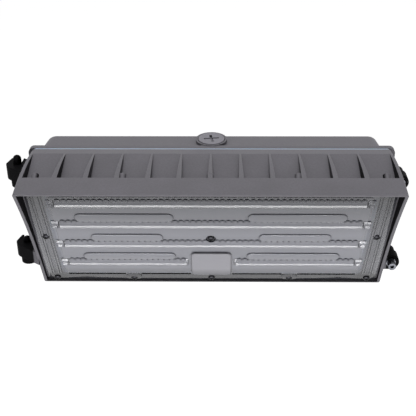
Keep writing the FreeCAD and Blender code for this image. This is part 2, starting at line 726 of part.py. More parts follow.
def lens_gasket_ring(side_play, end_play):
    """The lens gasket's groove, or the gasket itself when given its play."""
    inner_x = BOARD_HALF + BOARD_PLAY + GROOVE_BANK + side_play
    inner_top = BOARD_TOP - BOARD_PLAY - GROOVE_BANK - side_play
    inner_bottom = BOARD_BOTTOM + BOARD_PLAY + GROOVE_BANK + side_play
    width = GASKET_GROOVE_WIDTH - 2 * side_play
    depth0, depth1 = SEAT, SEAT + GASKET_GROOVE_DEPTH - end_play
    outer = rounded_plate(-inner_x - width, inner_x + width, inner_top - width,
                          inner_bottom + width, depth0, depth1, GROOVE_OUTER_RADIUS)
    inner = rounded_plate(-inner_x, inner_x, inner_top, inner_bottom, depth0 - 1, depth1 + 1,
                          GROOVE_INNER_RADIUS)
    return stacked(outer.cut(inner))


def middle_boss():
    """The boss that carries the lens at its middle screw."""
    x, along = MIDDLE_SCREW
    return stacked(rod(MIDDLE_BOSS_RADIUS, V(x, along, SEAT), V(0, 0, 1), PLATE_FRONT))


def board_recess():
    """The shallow recess of the plate in which the LED board lies."""
    x = BOARD_HALF + BOARD_PLAY
    return stacked(block(-x, x, BOARD_TOP - BOARD_PLAY, BOARD_BOTTOM + BOARD_PLAY, 0, PLATE_FRONT))


def bar(x0, x1, along):
    """A raised optic over a stretch of one LED row."""
    face = LENS_FACE_DEPTH
    half = BAR_WIDTH / 2
    crown = half - BAR_FOOT_WIDTH
    points = [
        V(x0, along - half, face + OPTIC_ROOT), V(x0, along - crown, face - BAR_HEIGHT),
        V(x0, along + crown - BAR_CROWN_SLANT, face - BAR_HEIGHT), V(x0, along + half, face + OPTIC_ROOT),
    ]
    return prism(points, V(x1 - x0, 0, 0))


def row_spans(index):
    """Left and right ends of the optics over one row."""
    outer = LED_ROW_HALF + BAR_OVERHANG
    if index < LED_ROWS - 1:
        return [(-outer, outer)]
    inner = LED_GAP_HALF - BAR_OVERHANG
    return [(-outer, -inner), (inner, outer)]


def end_blocks(index):
    """The small blocks beyond the ends of one row's optics."""
    ends = [(-END_BLOCK_REACH, 1), (END_BLOCK_REACH - END_BLOCK_LENGTH, 1)]
    if index == LED_ROWS - 1:
        ends += [(-SPLIT_BLOCK_REACH - END_BLOCK_LENGTH * SPLIT_BLOCK_SHARE, SPLIT_BLOCK_SHARE),
                 (SPLIT_BLOCK_REACH, SPLIT_BLOCK_SHARE)]
    blocks = []
    for x, share in ends:
        blocks.append(block(x, x + END_BLOCK_LENGTH * share,
                            ROWS[index] - END_BLOCK_WIDTH / 2, ROWS[index] + END_BLOCK_WIDTH / 2,
                            LENS_FACE_DEPTH - END_BLOCK_HEIGHT, LENS_FACE_DEPTH + OPTIC_ROOT))
    return blocks


def pad(side, gap):
    """A raised, round-ended pad between two rows."""
    x0, x1 = sorted((side * PAD_INNER[gap], side * PAD_OUTER[gap]))
    middle = (gap + PAD_ROW_SHARE) * LED_ROW_PITCH + PAD_SHIFT
    half = PAD_WIDTHS[gap] / 2
    return rounded_plate(x0, x1, middle - half, middle + half,
                         LENS_FACE_DEPTH - PAD_HEIGHT, LENS_FACE_DEPTH + OPTIC_ROOT, half - PAD_END_FLAT)


def window_box(wall):
    """The frosted box over the wire connector, or its hollow when given a wall."""
    x = WINDOW_HALF - wall
    a0, a1 = WINDOW_TOP + wall, WINDOW_BOTTOM - wall
    d0 = LENS_FACE_DEPTH - WINDOW_HEIGHT + wall
    d1 = LENS_FACE_DEPTH + OPTIC_ROOT if wall == 0 else SEAT + 1
    return rounded_plate(-x, x, a0, a1, d0, d1, WINDOW_CORNER_RADIUS - wall)


def lens_hole(x, along):
    """A screw's clearance hole through the lens, turned so that its seam lies down the slope."""
    start = V(x, along, LENS_FACE_DEPTH - BAR_HEIGHT - 1)
    hole = rod(LENS_HOLE_RADIUS, start, V(0, 0, 1), BAR_HEIGHT + LENS_THICKNESS + 2)
    hole.rotate(start, V(0, 0, 1), 90)
    return hole


def lens():
    """The clear moulded lens with its row optics, pads, window box and screw holes."""
    body = rounded_plate(-LENS_HALF, LENS_HALF, LENS_TOP, LENS_BOTTOM,
                         LENS_FACE_DEPTH, SEAT, LENS_CORNER_RADIUS)
    raised = [window_box(0)]
    hollows = [window_box(WINDOW_WALL)]
    for i in range(LED_ROWS):
        raised += end_blocks(i)
        for x0, x1 in row_spans(i):
            raised.append(bar(x0, x1, ROWS[i]))
            half = BAR_HOLLOW_WIDTH / 2
            hollows.append(block(x0 + BAR_END_WALL, x1 - BAR_END_WALL, ROWS[i] - half, ROWS[i] + half,
                                 SEAT - BAR_HOLLOW_DEPTH, SEAT + 1))
    for gap in range(LED_ROWS - 1):
        raised += [pad(-1, gap), pad(1, gap)]
    holes = [lens_hole(x, along) for x, along in TOP_SCREWS + BOTTOM_SCREWS + SIDE_SCREWS + [MIDDLE_SCREW]]
    for x, along in board_screw_places():
        holes.append(rod(BOARD_SCREW_HEAD_RADIUS + BOARD_HEAD_PLAY, V(x, along, SEAT - BOARD_SCREW_HEAD),
                         V(0, 0, 1), LENS_THICKNESS))
    return stacked(cut(fuse([body] + raised), hollows + holes))


def screw(x, along, head_depth, radius, head_radius, head, reach):
    """A pan head screw of the stack with a cross recess, its head's underside at a depth."""
    dome_radius = head_radius * HEAD_DOME_SHARE
    dome = Part.makeSphere(dome_radius, V(x, along, head_depth - head + dome_radius))
    cap = rod(head_radius, V(x, along, head_depth - head), V(0, 0, 1), head).common(dome)
    shank = rod(radius, V(x, along, head_depth), V(0, 0, 1), reach)
    arm = head_radius * CROSS_ARM_SHARE
    width = head_radius * CROSS_WIDTH_SHARE
    depth = head * CROSS_DEPTH_SHARE
    top = head_depth - head
    cross = [
        block(x - arm, x + arm, along - width, along + width, top - 1, top + depth),
        block(x - width, x + width, along - arm, along + arm, top - 1, top + depth),
    ]
    return stacked(cut(fuse([cap, shank]), cross))


def lens_screw(x, along):
    """One of the M4 screws that hold the lens."""
    return screw(x, along, LENS_FACE_DEPTH, LENS_SCREW_RADIUS, LENS_SCREW_HEAD_RADIUS,
                 LENS_SCREW_HEAD, LENS_THICKNESS + LENS_SCREW_REACH)


def board_screw_places():
    """Places of the board's screws, between the LED rows."""
    return [(side * x, gap * LED_ROW_PITCH)
            for gap in BOARD_SCREW_ROW_GAPS for x in BOARD_SCREW_X for side in (-1, 1)]


def board_screw(x, along):
    """One of the M3 screws that hold the board to the plate."""
    return screw(x, along, BOARD_FRONT, BOARD_SCREW_RADIUS, BOARD_SCREW_HEAD_RADIUS,
                 BOARD_SCREW_HEAD, BOARD_THICKNESS + BOARD_SCREW_REACH)


def led_board():
    """The aluminium-cored LED board."""
    body = rounded_plate(-BOARD_HALF, BOARD_HALF, BOARD_TOP, BOARD_BOTTOM,
                         BOARD_FRONT, PLATE_FRONT, BOARD_CORNER_RADIUS)
    holes = [rod(BOARD_SCREW_RADIUS + SCREW_HOLE_PLAY, V(x, a, BOARD_FRONT - 1), V(0, 0, 1),
                 BOARD_THICKNESS + 2) for x, a in board_screw_places()]
    through = BOARD_THICKNESS + 2
    holes.append(rod(MIDDLE_BOSS_RADIUS + MIDDLE_BOSS_PLAY, V(0, LENS_SCREW_MIDDLE, BOARD_FRONT - 1),
                     V(0, 0, 1), through))
    holes.append(rod(LEAD_HOLE_BOARD_RADIUS, V(LEAD_HOLE_X, CONNECTOR_SLOPE, BOARD_FRONT - 1),
                     V(0, 0, 1), through))
    return stacked(cut(body, holes))


def led_places(index):
    """Centres of one row's LEDs across the light."""
    if index < LED_ROWS - 1:
        count = int(round(2 * LED_ROW_HALF / LED_PITCH)) + 1
        return [-LED_ROW_HALF + i * 2 * LED_ROW_HALF / (count - 1) for i in range(count)]
    span = LED_ROW_HALF - LED_GAP_HALF
    count = int(round(span / LED_PITCH)) + 1
    side = [LED_GAP_HALF + i * span / (count - 1) for i in range(count)]
    return [-x for x in reversed(side)] + side


def led_row(index):
    """One row of surface-mounted LEDs."""
    chips = []
    for x in led_places(index):
        chips.append(stacked(block(x - LED_WIDTH / 2, x + LED_WIDTH / 2,
                                   ROWS[index] - LED_LENGTH / 2, ROWS[index] + LED_LENGTH / 2,
                                   BOARD_FRONT - LED_HEIGHT, BOARD_FRONT)))
    return Part.makeCompound(chips)


def lead_offsets():
    """The two output leads' places across their connector."""
    return (-LEAD_SPACING / 2, LEAD_SPACING / 2)


def connector_lead_depth():
    """Depth of the leads where they enter the board's connector."""
    return BOARD_FRONT - CONNECTOR_HEIGHT / 2


def wire_connector():
    """The board's push-in wire connector, beside the lead hole."""
    front = BOARD_FRONT - CONNECTOR_HEIGHT
    right = CONNECTOR_LEFT + CONNECTOR_LENGTH
    half = CONNECTOR_WIDTH / 2
    body = block(CONNECTOR_LEFT, right, CONNECTOR_SLOPE - half, CONNECTOR_SLOPE + half, front, BOARD_FRONT)
    mouths = [rod(LEAD_RADIUS + LEAD_BORE_PLAY,
                  V(right - CONNECTOR_MOUTH, CONNECTOR_SLOPE + offset, connector_lead_depth()),
                  V(1, 0, 0), CONNECTOR_MOUTH + 1) for offset in lead_offsets()]
    return stacked(cut(body, mouths))


# ---------------------------------------------------------------------------
# driver and wiring behind the plate
# ---------------------------------------------------------------------------

def driver_screw_places():
    """Places of the four driver screws, in the tabs at the driver's ends."""
    places = []
    for x in (DRIVER_LEFT - DRIVER_TAB / 2, DRIVER_LEFT + DRIVER_LENGTH + DRIVER_TAB / 2):
        for along in (DRIVER_TOP + DRIVER_TAB_INSET, DRIVER_TOP + DRIVER_WIDTH - DRIVER_TAB_INSET):
            places.append((x, along))
    return places


def driver_case():
    """The driver's aluminium case with its four mounting tabs."""
    base = PLATE_REAR + DRIVER_PAD
    right = DRIVER_LEFT + DRIVER_LENGTH
    body = block(DRIVER_LEFT, right, DRIVER_TOP, DRIVER_TOP + DRIVER_WIDTH, base, base + DRIVER_HEIGHT)
    long_edges = [e for e in body.Edges if abs(e.tangentAt(e.FirstParameter).x) > 0.9
                  and e.CenterOfMass.z > base + 1]
    body = body.makeFillet(DRIVER_EDGE_RADIUS, long_edges)
    tabs = []
    holes = []
    half = DRIVER_TAB_WIDTH / 2
    for x, along in driver_screw_places():
        reach = DRIVER_TAB / 2 + (1 if x < DRIVER_LEFT else 0)
        start = x - DRIVER_TAB / 2 - (0 if x < DRIVER_LEFT else 1)
        tabs.append(block(start, x + reach, along - half, along + half,
                          base, base + DRIVER_TAB_THICKNESS))
        holes.append(rod(BOARD_SCREW_RADIUS + SCREW_HOLE_PLAY, V(x, along, base - 1), V(0, 0, 1),
                         DRIVER_TAB_THICKNESS + 2))
    return stacked(cut(fuse([body] + tabs), holes))


def driver_caps():
    """The driver's plastic end caps, above the heads of its screws."""
    caps = []
    base = PLATE_REAR + DRIVER_PAD + DRIVER_TAB_THICKNESS + BOARD_SCREW_HEAD + CAP_HEAD_GAP
    top = PLATE_REAR + DRIVER_PAD + DRIVER_HEIGHT - CAP_REAR_INSET
    for x0 in (DRIVER_LEFT - DRIVER_CAP, DRIVER_LEFT + DRIVER_LENGTH):
        cap = rounded_plate(x0, x0 + DRIVER_CAP, DRIVER_TOP + DRIVER_CAP_INSET,
                            DRIVER_TOP + DRIVER_WIDTH - DRIVER_CAP_INSET, base, top, CAP_CORNER_RADIUS)
        caps.append(stacked(cap))
    return Part.makeCompound(caps)


def driver_screws():
    """The driver's four slotted pan head screws, driven from behind."""
    screws = []
    seat = PLATE_REAR + DRIVER_PAD + DRIVER_TAB_THICKNESS
    slot_half = BOARD_SCREW_HEAD_RADIUS * SLOT_LENGTH_SHARE
    for x, along in driver_screw_places():
        cap = rod(BOARD_SCREW_HEAD_RADIUS, V(x, along, seat), V(0, 0, 1), BOARD_SCREW_HEAD)
        shank = rod(BOARD_SCREW_RADIUS, V(x, along, seat), V(0, 0, -1),
                    DRIVER_TAB_THICKNESS + BOARD_SCREW_REACH)
        slot = block(x - slot_half, x + slot_half, along - SLOT_HALF, along + SLOT_HALF,
                     seat + BOARD_SCREW_HEAD * SLOT_FLOOR_SHARE, seat + BOARD_SCREW_HEAD + 1)
        screws.append(stacked(cut(fuse([cap, shank]), [slot])))
    return Part.makeCompound(screws)


def tube(points, radius):
    """A round lead along straight runs, with each bend as large as its runs allow."""
    edges = []
    here = points[0]
    for i in range(1, len(points) - 1):
        run_in = points[i] - points[i - 1]
        run_out = points[i + 1] - points[i]
        shorter = min(run_in.Length, run_out.Length)
        before = run_in.normalize()
        after = run_out.normalize()
        half_turn = math.acos(max(-1.0, min(1.0, before.dot(after)))) / 2
        bend = min(LEAD_BEND, BEND_SHARE * shorter / math.tan(half_turn))
        back = bend * math.tan(half_turn)
        start = points[i] - before * back
        end = points[i] + after * back
        inward = (after - before).normalize()
        middle = points[i] + inward * (bend / math.cos(half_turn) - bend)
        edges.append(Part.LineSegment(here, start).toShape())
        edges.append(Part.Arc(start, middle, end).toShape())
        here = end
    edges.append(Part.LineSegment(here, points[-1]).toShape())
    path = Part.Wire(edges)
    direction = (points[1] - points[0]).normalize()
    section = Part.Wire(Part.makeCircle(radius, points[0], direction))
    lead = path.makePipeShell([section], True, False)
    ideal = math.pi * radius ** 2 * path.Length
    print(f"lead of {path.Length:.1f} mm, volume {lead.Volume:.1f} against {ideal:.1f}")
    return lead


def output_leads():
    """The two leads from the driver's right end through the plate to the board's connector."""
    leads = []
    cap_x = DRIVER_LEFT + DRIVER_LENGTH + DRIVER_CAP
    start = DRIVER_TOP + DRIVER_WIDTH / 2
    exit_depth = PLATE_REAR + LEAD_EXIT_HEIGHT
    run_depth = PLATE_REAR + LEAD_RUN_HEIGHT
    for offset in lead_offsets():
        loop = cap_x + LEAD_LOOP + offset
        along = CONNECTOR_SLOPE + offset
        points = [
            V(cap_x, start - offset, exit_depth),
            V(loop, start - offset, exit_depth),
            V(loop, along, run_depth),
            V(LEAD_HOLE_X, along, run_depth),
            V(LEAD_HOLE_X, along, connector_lead_depth()),
            V(CONNECTOR_LEFT + CONNECTOR_LENGTH - CONNECTOR_MOUTH + 1, along, connector_lead_depth()),
        ]
        leads.append(stacked(tube(points, LEAD_RADIUS)))
    return Part.makeCompound(leads)


def plate_grommet():
    """The rubber grommet that seals the leads' hole in the plate."""
    front = V(LEAD_HOLE_X, CONNECTOR_SLOPE, PLATE_FRONT + GROMMET_RECESS)
    thickness = PLATE_WALL - GROMMET_RECESS
    body = rod(LEAD_HOLE_RADIUS - TAP_PLAY, front, V(0, 0, 1), thickness)
    flange = rod(LEAD_HOLE_RADIUS + GROMMET_LIP_WIDTH, front + V(0, 0, thickness), V(0, 0, 1), GROMMET_LIP)
    bores = [rod(LEAD_RADIUS + LEAD_BORE_PLAY, front + V(0, offset, -1), V(0, 0, 1),
                 thickness + GROMMET_LIP + 2) for offset in lead_offsets()]
    return stacked(cut(fuse([body, flange]), bores))


def lead_clip():
    """The stuck-on saddle that holds the output leads to the plate."""
    half = CLIP_WIDTH / 2
    top = PLATE_REAR + LEAD_RUN_HEIGHT + LEAD_RADIUS + CLIP_ABOVE
    body = block(CLIP_X, CLIP_X + CLIP_LENGTH, CONNECTOR_SLOPE - half, CONNECTOR_SLOPE + half,
                 PLATE_REAR, top)
    bores = [rod(LEAD_RADIUS + LEAD_BORE_PLAY,
                 V(CLIP_X - 1, CONNECTOR_SLOPE + offset, PLATE_REAR + LEAD_RUN_HEIGHT),
                 V(1, 0, 0), CLIP_LENGTH + 2) for offset in lead_offsets()]
    return stacked(cut(body, bores))


def nut_places():
    """Places of the three wire nuts, side by side left of the driver."""
    return [NUT_SLOPE + (i - 1) * NUT_PITCH for i in range(3)]


def input_leads():
    """The driver's three supply leads, each from the left end cap to its wire nut."""
    leads = []
    cap_x = DRIVER_LEFT - DRIVER_CAP
    nut_depth = PLATE_REAR + NUT_RADIUS + NUT_CLEAR
    exit_depth = PLATE_REAR + LEAD_EXIT_HEIGHT
    reach = (NUT_LEFT - cap_x) / 2
    for i, along in enumerate(nut_places()):
        start = DRIVER_TOP + DRIVER_WIDTH / 2 + (i - 1) * LEAD_SPACING
        turn = cap_x + reach + (i - 1) * LEAD_SPACING
        points = [
            V(cap_x, start, exit_depth),
            V(turn, start, exit_depth),
            V(turn, along, nut_depth),
            V(NUT_LEFT - CONNECTOR_MOUTH + 1, along, nut_depth),
        ]
        leads.append(stacked(tube(points, LEAD_RADIUS)))
    return leads


def wire_nuts():
    """The three twist-on wire nuts, cones that open towards the driver's leads."""
    nuts = []
    for along in nut_places():
        mouth = V(NUT_LEFT, along, PLATE_REAR + NUT_RADIUS + NUT_CLEAR)
        cone = Part.makeCone(NUT_RADIUS, NUT_RADIUS * NUT_TIP_SHARE, NUT_LENGTH, mouth, V(-1, 0, 0))
        bore = rod(LEAD_RADIUS + LEAD_BORE_PLAY, mouth + V(1, 0, 0), V(-1, 0, 0), CONNECTOR_MOUTH + 2)
        nuts.append(stacked(cut(cone, [bore])))
    return Part.makeCompound(nuts)


def nut_clip():
    """The comb that holds the wire nuts against the plate."""
    low = nut_places()[0] - NUT_PITCH * NUT_CLIP_SHARE
    high = nut_places()[-1] + NUT_PITCH * NUT_CLIP_SHARE
    x0 = NUT_LEFT - (NUT_LENGTH + NUT_CLIP_LENGTH) / 2
    depth = PLATE_REAR + NUT_RADIUS + NUT_CLEAR
    strap = block(x0, x0 + NUT_CLIP_LENGTH, low, high, PLATE_REAR, depth + NUT_RADIUS + NUT_CLIP_WALL)
    bore = NUT_RADIUS * (1 + NUT_TIP_SHARE) / 2 + NUT_CLIP_PLAY
    hollows = []
    for along in nut_places():
        hollows.append(rod(bore, V(x0 - 1, along, depth), V(1, 0, 0), NUT_CLIP_LENGTH + 2))
        hollows.append(block(x0 - 1, x0 + NUT_CLIP_LENGTH + 1, along - bore, along + bore,
                             PLATE_REAR - 1, depth))
    return stacked(cut(strap, hollows))


# ---------------------------------------------------------------------------
# back box
# ---------------------------------------------------------------------------

def box_shell():
    """The drafted box with its flange, hollow from the front."""
    rear_of_flange = GASKET_Y + FLANGE_THICKNESS
    flange = rounded_slab(FLANGE_HALF, FLANGE_BOTTOM, FLANGE_TOP, FLANGE_RADIUS, GASKET_Y, rear_of_flange)
    body = Part.makeLoft([
        rounded_wire(BOX_FRONT_HALF, BOX_FRONT_BOTTOM, BOX_FRONT_TOP, BOX_RADIUS, GASKET_Y + FLANGE_OVERLAP),
        rounded_wire(BOX_REAR_HALF, BOX_REAR_BOTTOM, BOX_REAR_TOP, BOX_RADIUS, 0),
    ], True, True)
    hollow = Part.makeLoft([
        rounded_wire(BOX_FRONT_HALF - BOX_WALL, BOX_FRONT_BOTTOM + BOX_WALL,
                     BOX_FRONT_TOP - BOX_WALL, BOX_RADIUS - BOX_WALL, GASKET_Y - 1),
        rounded_wire(BOX_REAR_HALF - BOX_WALL, BOX_REAR_BOTTOM + BOX_WALL,
                     BOX_REAR_TOP - BOX_WALL, BOX_RADIUS - BOX_WALL, -BOX_BACK),
    ], True, True)
    return flange, body, hollow


def hinge_boss(top):
    """A boss on the back box that carries one post, and the arm that joins it to the flange."""
    height = BOSS_HEIGHT
    z0 = top - HOOK_HEIGHT - HOOK_GAP - height
    knob = rod(BOSS_RADIUS, V(HINGE_X, HINGE_Y, z0), V(0, 0, 1), height)
    edge_x = -FLANGE_HALF
    side = BOSS_RADIUS * math.sqrt(0.5)
    arm = plan_prism([
        (HINGE_X - side, HINGE_Y + side),
        (HINGE_X + side, HINGE_Y - side),
        (edge_x, GASKET_Y - BOSS_ARM_ROOT),
        (edge_x, GASKET_Y),
        (edge_x + BOSS_ARM_ROOT, GASKET_Y),
        (edge_x + BOSS_ARM_ROOT, GASKET_Y + FLANGE_THICKNESS),
        (edge_x - BOSS_ARM_LEAN, GASKET_Y + FLANGE_THICKNESS),
    ], z0, z0 + height)
    return fuse([knob, arm])


def flange_reliefs():
    """The hollows in the flange's left edge that let the hooks' horns swing past."""
    return [rod(FLANGE_RELIEF_RADIUS, V(HINGE_X, HINGE_Y, top - HOOK_HEIGHT - HOOK_GAP), V(0, 0, 1),
                HOOK_HEIGHT + 2) for top in HINGE_TOPS]


def rear_holes():
    """Wire entry, junction box slots and corner lag holes in the rear wall."""
    tools = [rod(ENTRY_RADIUS, V(0, 1, 0), V(0, -1, 0), BOX_BACK + 2)]
    half = BOX_SLOT_WIDTH / 2
    straight = BOX_SLOT_LENGTH / 2 - half
    for side in (-1, 1):
        x = side * BOX_SLOT_SPACING / 2
        tools.append(block(x - straight, x + straight, -BOX_BACK - 1, 1, -half, half))
        for end in (-1, 1):
            tools.append(rod(half, V(x + end * straight, 1, 0), V(0, -1, 0), BOX_BACK + 2))
        for up in (-1, 1):
            tools.append(rod(LAG_RADIUS, V(side * LAG_SPACING_X / 2, 1, up * LAG_SPACING_Z / 2),
                             V(0, -1, 0), BOX_BACK + 2))
    return tools


def door_gasket():
    """The flat silicone gasket between the two castings."""
    half = HALF - DOOR_GASKET_INSET
    low = DOOR_BOTTOM + DOOR_GASKET_INSET
    top = DOOR_REAR_TOP - DOOR_GASKET_INSET
    width = DOOR_GASKET_WIDTH
    outer = rounded_slab(half, low, top, REAR_CORNER_RADIUS, DOOR_REAR_Y, GASKET_Y)
    inner = rounded_slab(half - width, low + width, top - width, REAR_CORNER_RADIUS,
                         DOOR_REAR_Y - 1, GASKET_Y + 1)
    return outer.cut(inner)


def wall_gasket_ring(play):
    """The foam gasket in the rear wall, or its groove when the play is zero."""
    y0 = -WALL_GASKET_THICKNESS + play
    inset = WALL_GASKET_INSET + play
    width = WALL_GASKET_WIDTH - 2 * play
    outer = rounded_slab(BOX_REAR_HALF - inset, BOX_REAR_BOTTOM + inset, BOX_REAR_TOP - inset,
                         BOX_RADIUS - WALL_GASKET_OUTER_STEP, y0, 0)
    inner = rounded_slab(BOX_REAR_HALF - inset - width, BOX_REAR_BOTTOM + inset + width,
                         BOX_REAR_TOP - inset - width, BOX_RADIUS - WALL_GASKET_INNER_STEP, y0 - 1, 1)
    return outer.cut(inner)


def back_box():
    """The cast back box with flange, ears, hinge bosses and plug boss."""
    flange, body, hollow = box_shell()
    plug_boss = rod(PLUG_BOSS_RADIUS, V(0, PLUG_Y, PLUG_BOSS_TOP - PLUG_BOSS_LENGTH), V(0, 0, 1),
                    PLUG_BOSS_LENGTH)
    shell = fuse([flange, body]).cut(hollow)
    ground = rod(GROUND_BOSS_RADIUS, V(GROUND_SCREW_X, -BOX_BACK - GROUND_BOSS, GROUND_SCREW_Z),
                 V(0, 1, 0), GROUND_BOSS + 1)
    parts = [shell, plug_boss, ground]
    for top in HINGE_TOPS:
        parts.append(hinge_boss(top))
    for z in EAR_HEIGHTS:
        parts.append(ear(z, GASKET_Y, BOX_EAR, BOX_EAR_RADIUS))
    shape = fuse(parts)
    tools = rear_holes()
    tools += flange_reliefs()
    tools.append(wall_gasket_ring(0))
    head_seat = PLUG_BOSS_TOP + PLUG_HEAD_PROUD - PLUG_HEAD
    tools.append(rod(PLUG_HEAD_RADIUS + PLUG_HEAD_PLAY, V(0, PLUG_Y, head_seat), V(0, 0, 1), CUTTER_REACH))
    tools.append(rod(PLUG_THREAD_RADIUS + TAP_PLAY,
                     V(0, PLUG_Y, PLUG_BOSS_TOP - PLUG_BOSS_LENGTH - PLUG_BORE_BELOW),
                     V(0, 0, 1), CUTTER_REACH))
    tools.append(rod(GROUND_SCREW_RADIUS + TAP_PLAY,
                     V(GROUND_SCREW_X, -BOX_BACK - GROUND_BOSS - 1, GROUND_SCREW_Z),
                     V(0, 1, 0), GROUND_SCREW_REACH + TAP_SPARE + 1))
    for top in HINGE_TOPS:
        tools.append(rod(POST_SHANK_RADIUS + TAP_PLAY, V(HINGE_X, HINGE_Y, top - HOOK_HEIGHT + 1),
                         V(0, 0, -1), POST_SHANK + 1 + HOOK_GAP))
    for z in EAR_HEIGHTS:
        tools.append(rod(LATCH_RADIUS + LATCH_PLAY, V(EAR_X, GASKET_Y - 1, z), V(0, 1, 0), BOX_EAR + 2))
    return cut(shape, tools)


def conduit_plug():
    """The slotted plug that closes the top conduit entry."""
    top = PLUG_BOSS_TOP + PLUG_HEAD_PROUD
    head = rod(PLUG_HEAD_RADIUS, V(0, PLUG_Y, top - PLUG_HEAD), V(0, 0, 1), PLUG_HEAD)
    rim = [e for e in head.Edges if abs(e.CenterOfMass.z - top) < 0.01]
    head = head.makeFillet(PLUG_RIM_RADIUS, rim)
    thread = rod(PLUG_THREAD_RADIUS, V(0, PLUG_Y, top - PLUG_HEAD - PLUG_THREAD), V(0, 0, 1), PLUG_THREAD)
    arms = []
    for angle in (0, 90):
        arm = block(-PLUG_SLOT_LENGTH / 2, PLUG_SLOT_LENGTH / 2, -PLUG_SLOT_WIDTH / 2,
                    PLUG_SLOT_WIDTH / 2, top - PLUG_SLOT_DEPTH, top + 1)
        arm.rotate(V(0, 0, 0), V(0, 0, 1), angle + PLUG_SLOT_TURN)
        arm.translate(V(0, PLUG_Y, 0))
        arms.append(arm)
    return cut(fuse([head, thread]), arms)


def entry_grommet():
    """The rubber grommet in the wire entry."""
    body = rod(ENTRY_RADIUS - ENTRY_PLAY, V(0, 0, 0), V(0, -1, 0), BOX_BACK)
    lip = rod(ENTRY_RADIUS + ENTRY_GROMMET_LIP_WIDTH, V(0, -BOX_BACK, 0), V(0, -1, 0), ENTRY_GROMMET_LIP)
    bore = rod(ENTRY_GROMMET_BORE, V(0, 1, 0), V(0, -1, 0), BOX_BACK + ENTRY_GROMMET_LIP + 2)
    return cut(fuse([body, lip]), [bore])


def hinge_post(top, rise):
    """One domed hinge post, pressed into its boss."""
    seat = top - HOOK_HEIGHT - HOOK_GAP
    straight = HOOK_HEIGHT + HOOK_GAP + rise - POST_RADIUS
    body = rod(POST_RADIUS, V(HINGE_X, HINGE_Y, seat), V(0, 0, 1), straight)
    dome = Part.makeSphere(POST_RADIUS, V(HINGE_X, HINGE_Y, seat + straight))
    shank = rod(POST_SHANK_RADIUS, V(HINGE_X, HINGE_Y, seat), V(0, 0, -1), POST_SHANK)
    return fuse([body, dome, shank])


def hexagon(centre_x, y, centre_z, radius):
    """Corners of a hexagon in the plane of one Y."""
    turns = [math.radians(i * 60) for i in range(6)]
    return [V(centre_x + radius * math.cos(t), y, centre_z + radius * math.sin(t)) for t in turns]


def ground_screw():
    """The green hex-head ground screw on its boss."""
    y = -BOX_BACK - GROUND_BOSS
    centre = V(GROUND_SCREW_X, y, GROUND_SCREW_Z)
    head = prism(hexagon(GROUND_SCREW_X, y, GROUND_SCREW_Z, GROUND_HEAD_RADIUS), V(0, -GROUND_HEAD, 0))
    washer = rod(GROUND_WASHER_RADIUS, centre, V(0, -1, 0), GROUND_WASHER)
    shank = rod(GROUND_SCREW_RADIUS, centre, V(0, 1, 0), GROUND_SCREW_REACH)
    return fuse([head, washer, shank])


# ---------------------------------------------------------------------------
# captive screws
# ---------------------------------------------------------------------------

def captive_screw(z):
    """A socket-head screw with a collar and a washer face, tightened."""
    seat = DOOR_REAR_Y - DOOR_EAR
    y_axis = V(0, 1, 0)
    out = V(0, -1, 0)
    washer = rod(LATCH_FLANGE_RADIUS, V(EAR_X, seat, z), out, LATCH_FLANGE)
    collar = rod(LATCH_COLLAR_RADIUS, V(EAR_X, seat - LATCH_FLANGE, z), out, LATCH_COLLAR)
    head = rod(LATCH_HEAD_RADIUS, V(EAR_X, seat - LATCH_FLANGE - LATCH_COLLAR, z), out, LATCH_HEAD)
    face_y = seat - LATCH_FLANGE - LATCH_COLLAR - LATCH_HEAD
    rim = [e for e in head.Edges if abs(e.CenterOfMass.y - face_y) < 0.01]
    head = head.makeFillet(LATCH_RIM_RADIUS, rim)
    length = DOOR_EAR + DOOR_GAP + LATCH_ENGAGED
    shank = rod(LATCH_RADIUS, V(EAR_X, seat, z), y_axis, length)
    corner = LATCH_SOCKET_ACROSS / 2 / math.cos(math.radians(30))
    socket = prism(hexagon(EAR_X, face_y - 1, z, corner), V(0, 1 + LATCH_SOCKET_DEPTH, 0))
    return cut(fuse([washer, collar, head, shank]), [socket])


def retainer(z):
    """The nylon washer that keeps a captive screw in its ear."""
    y = DOOR_REAR_Y - RETAINER_WIDTH - RETAINER_INSET
    ring = rod(RETAINER_RADIUS, V(EAR_X, y, z), V(0, 1, 0), RETAINER_WIDTH)
    bore = rod(LATCH_RADIUS + TAP_PLAY, V(EAR_X, y - 1, z), V(0, 1, 0), RETAINER_WIDTH + 2)
    return cut(ring, [bore])


# ---------------------------------------------------------------------------
# all nodes
# ---------------------------------------------------------------------------

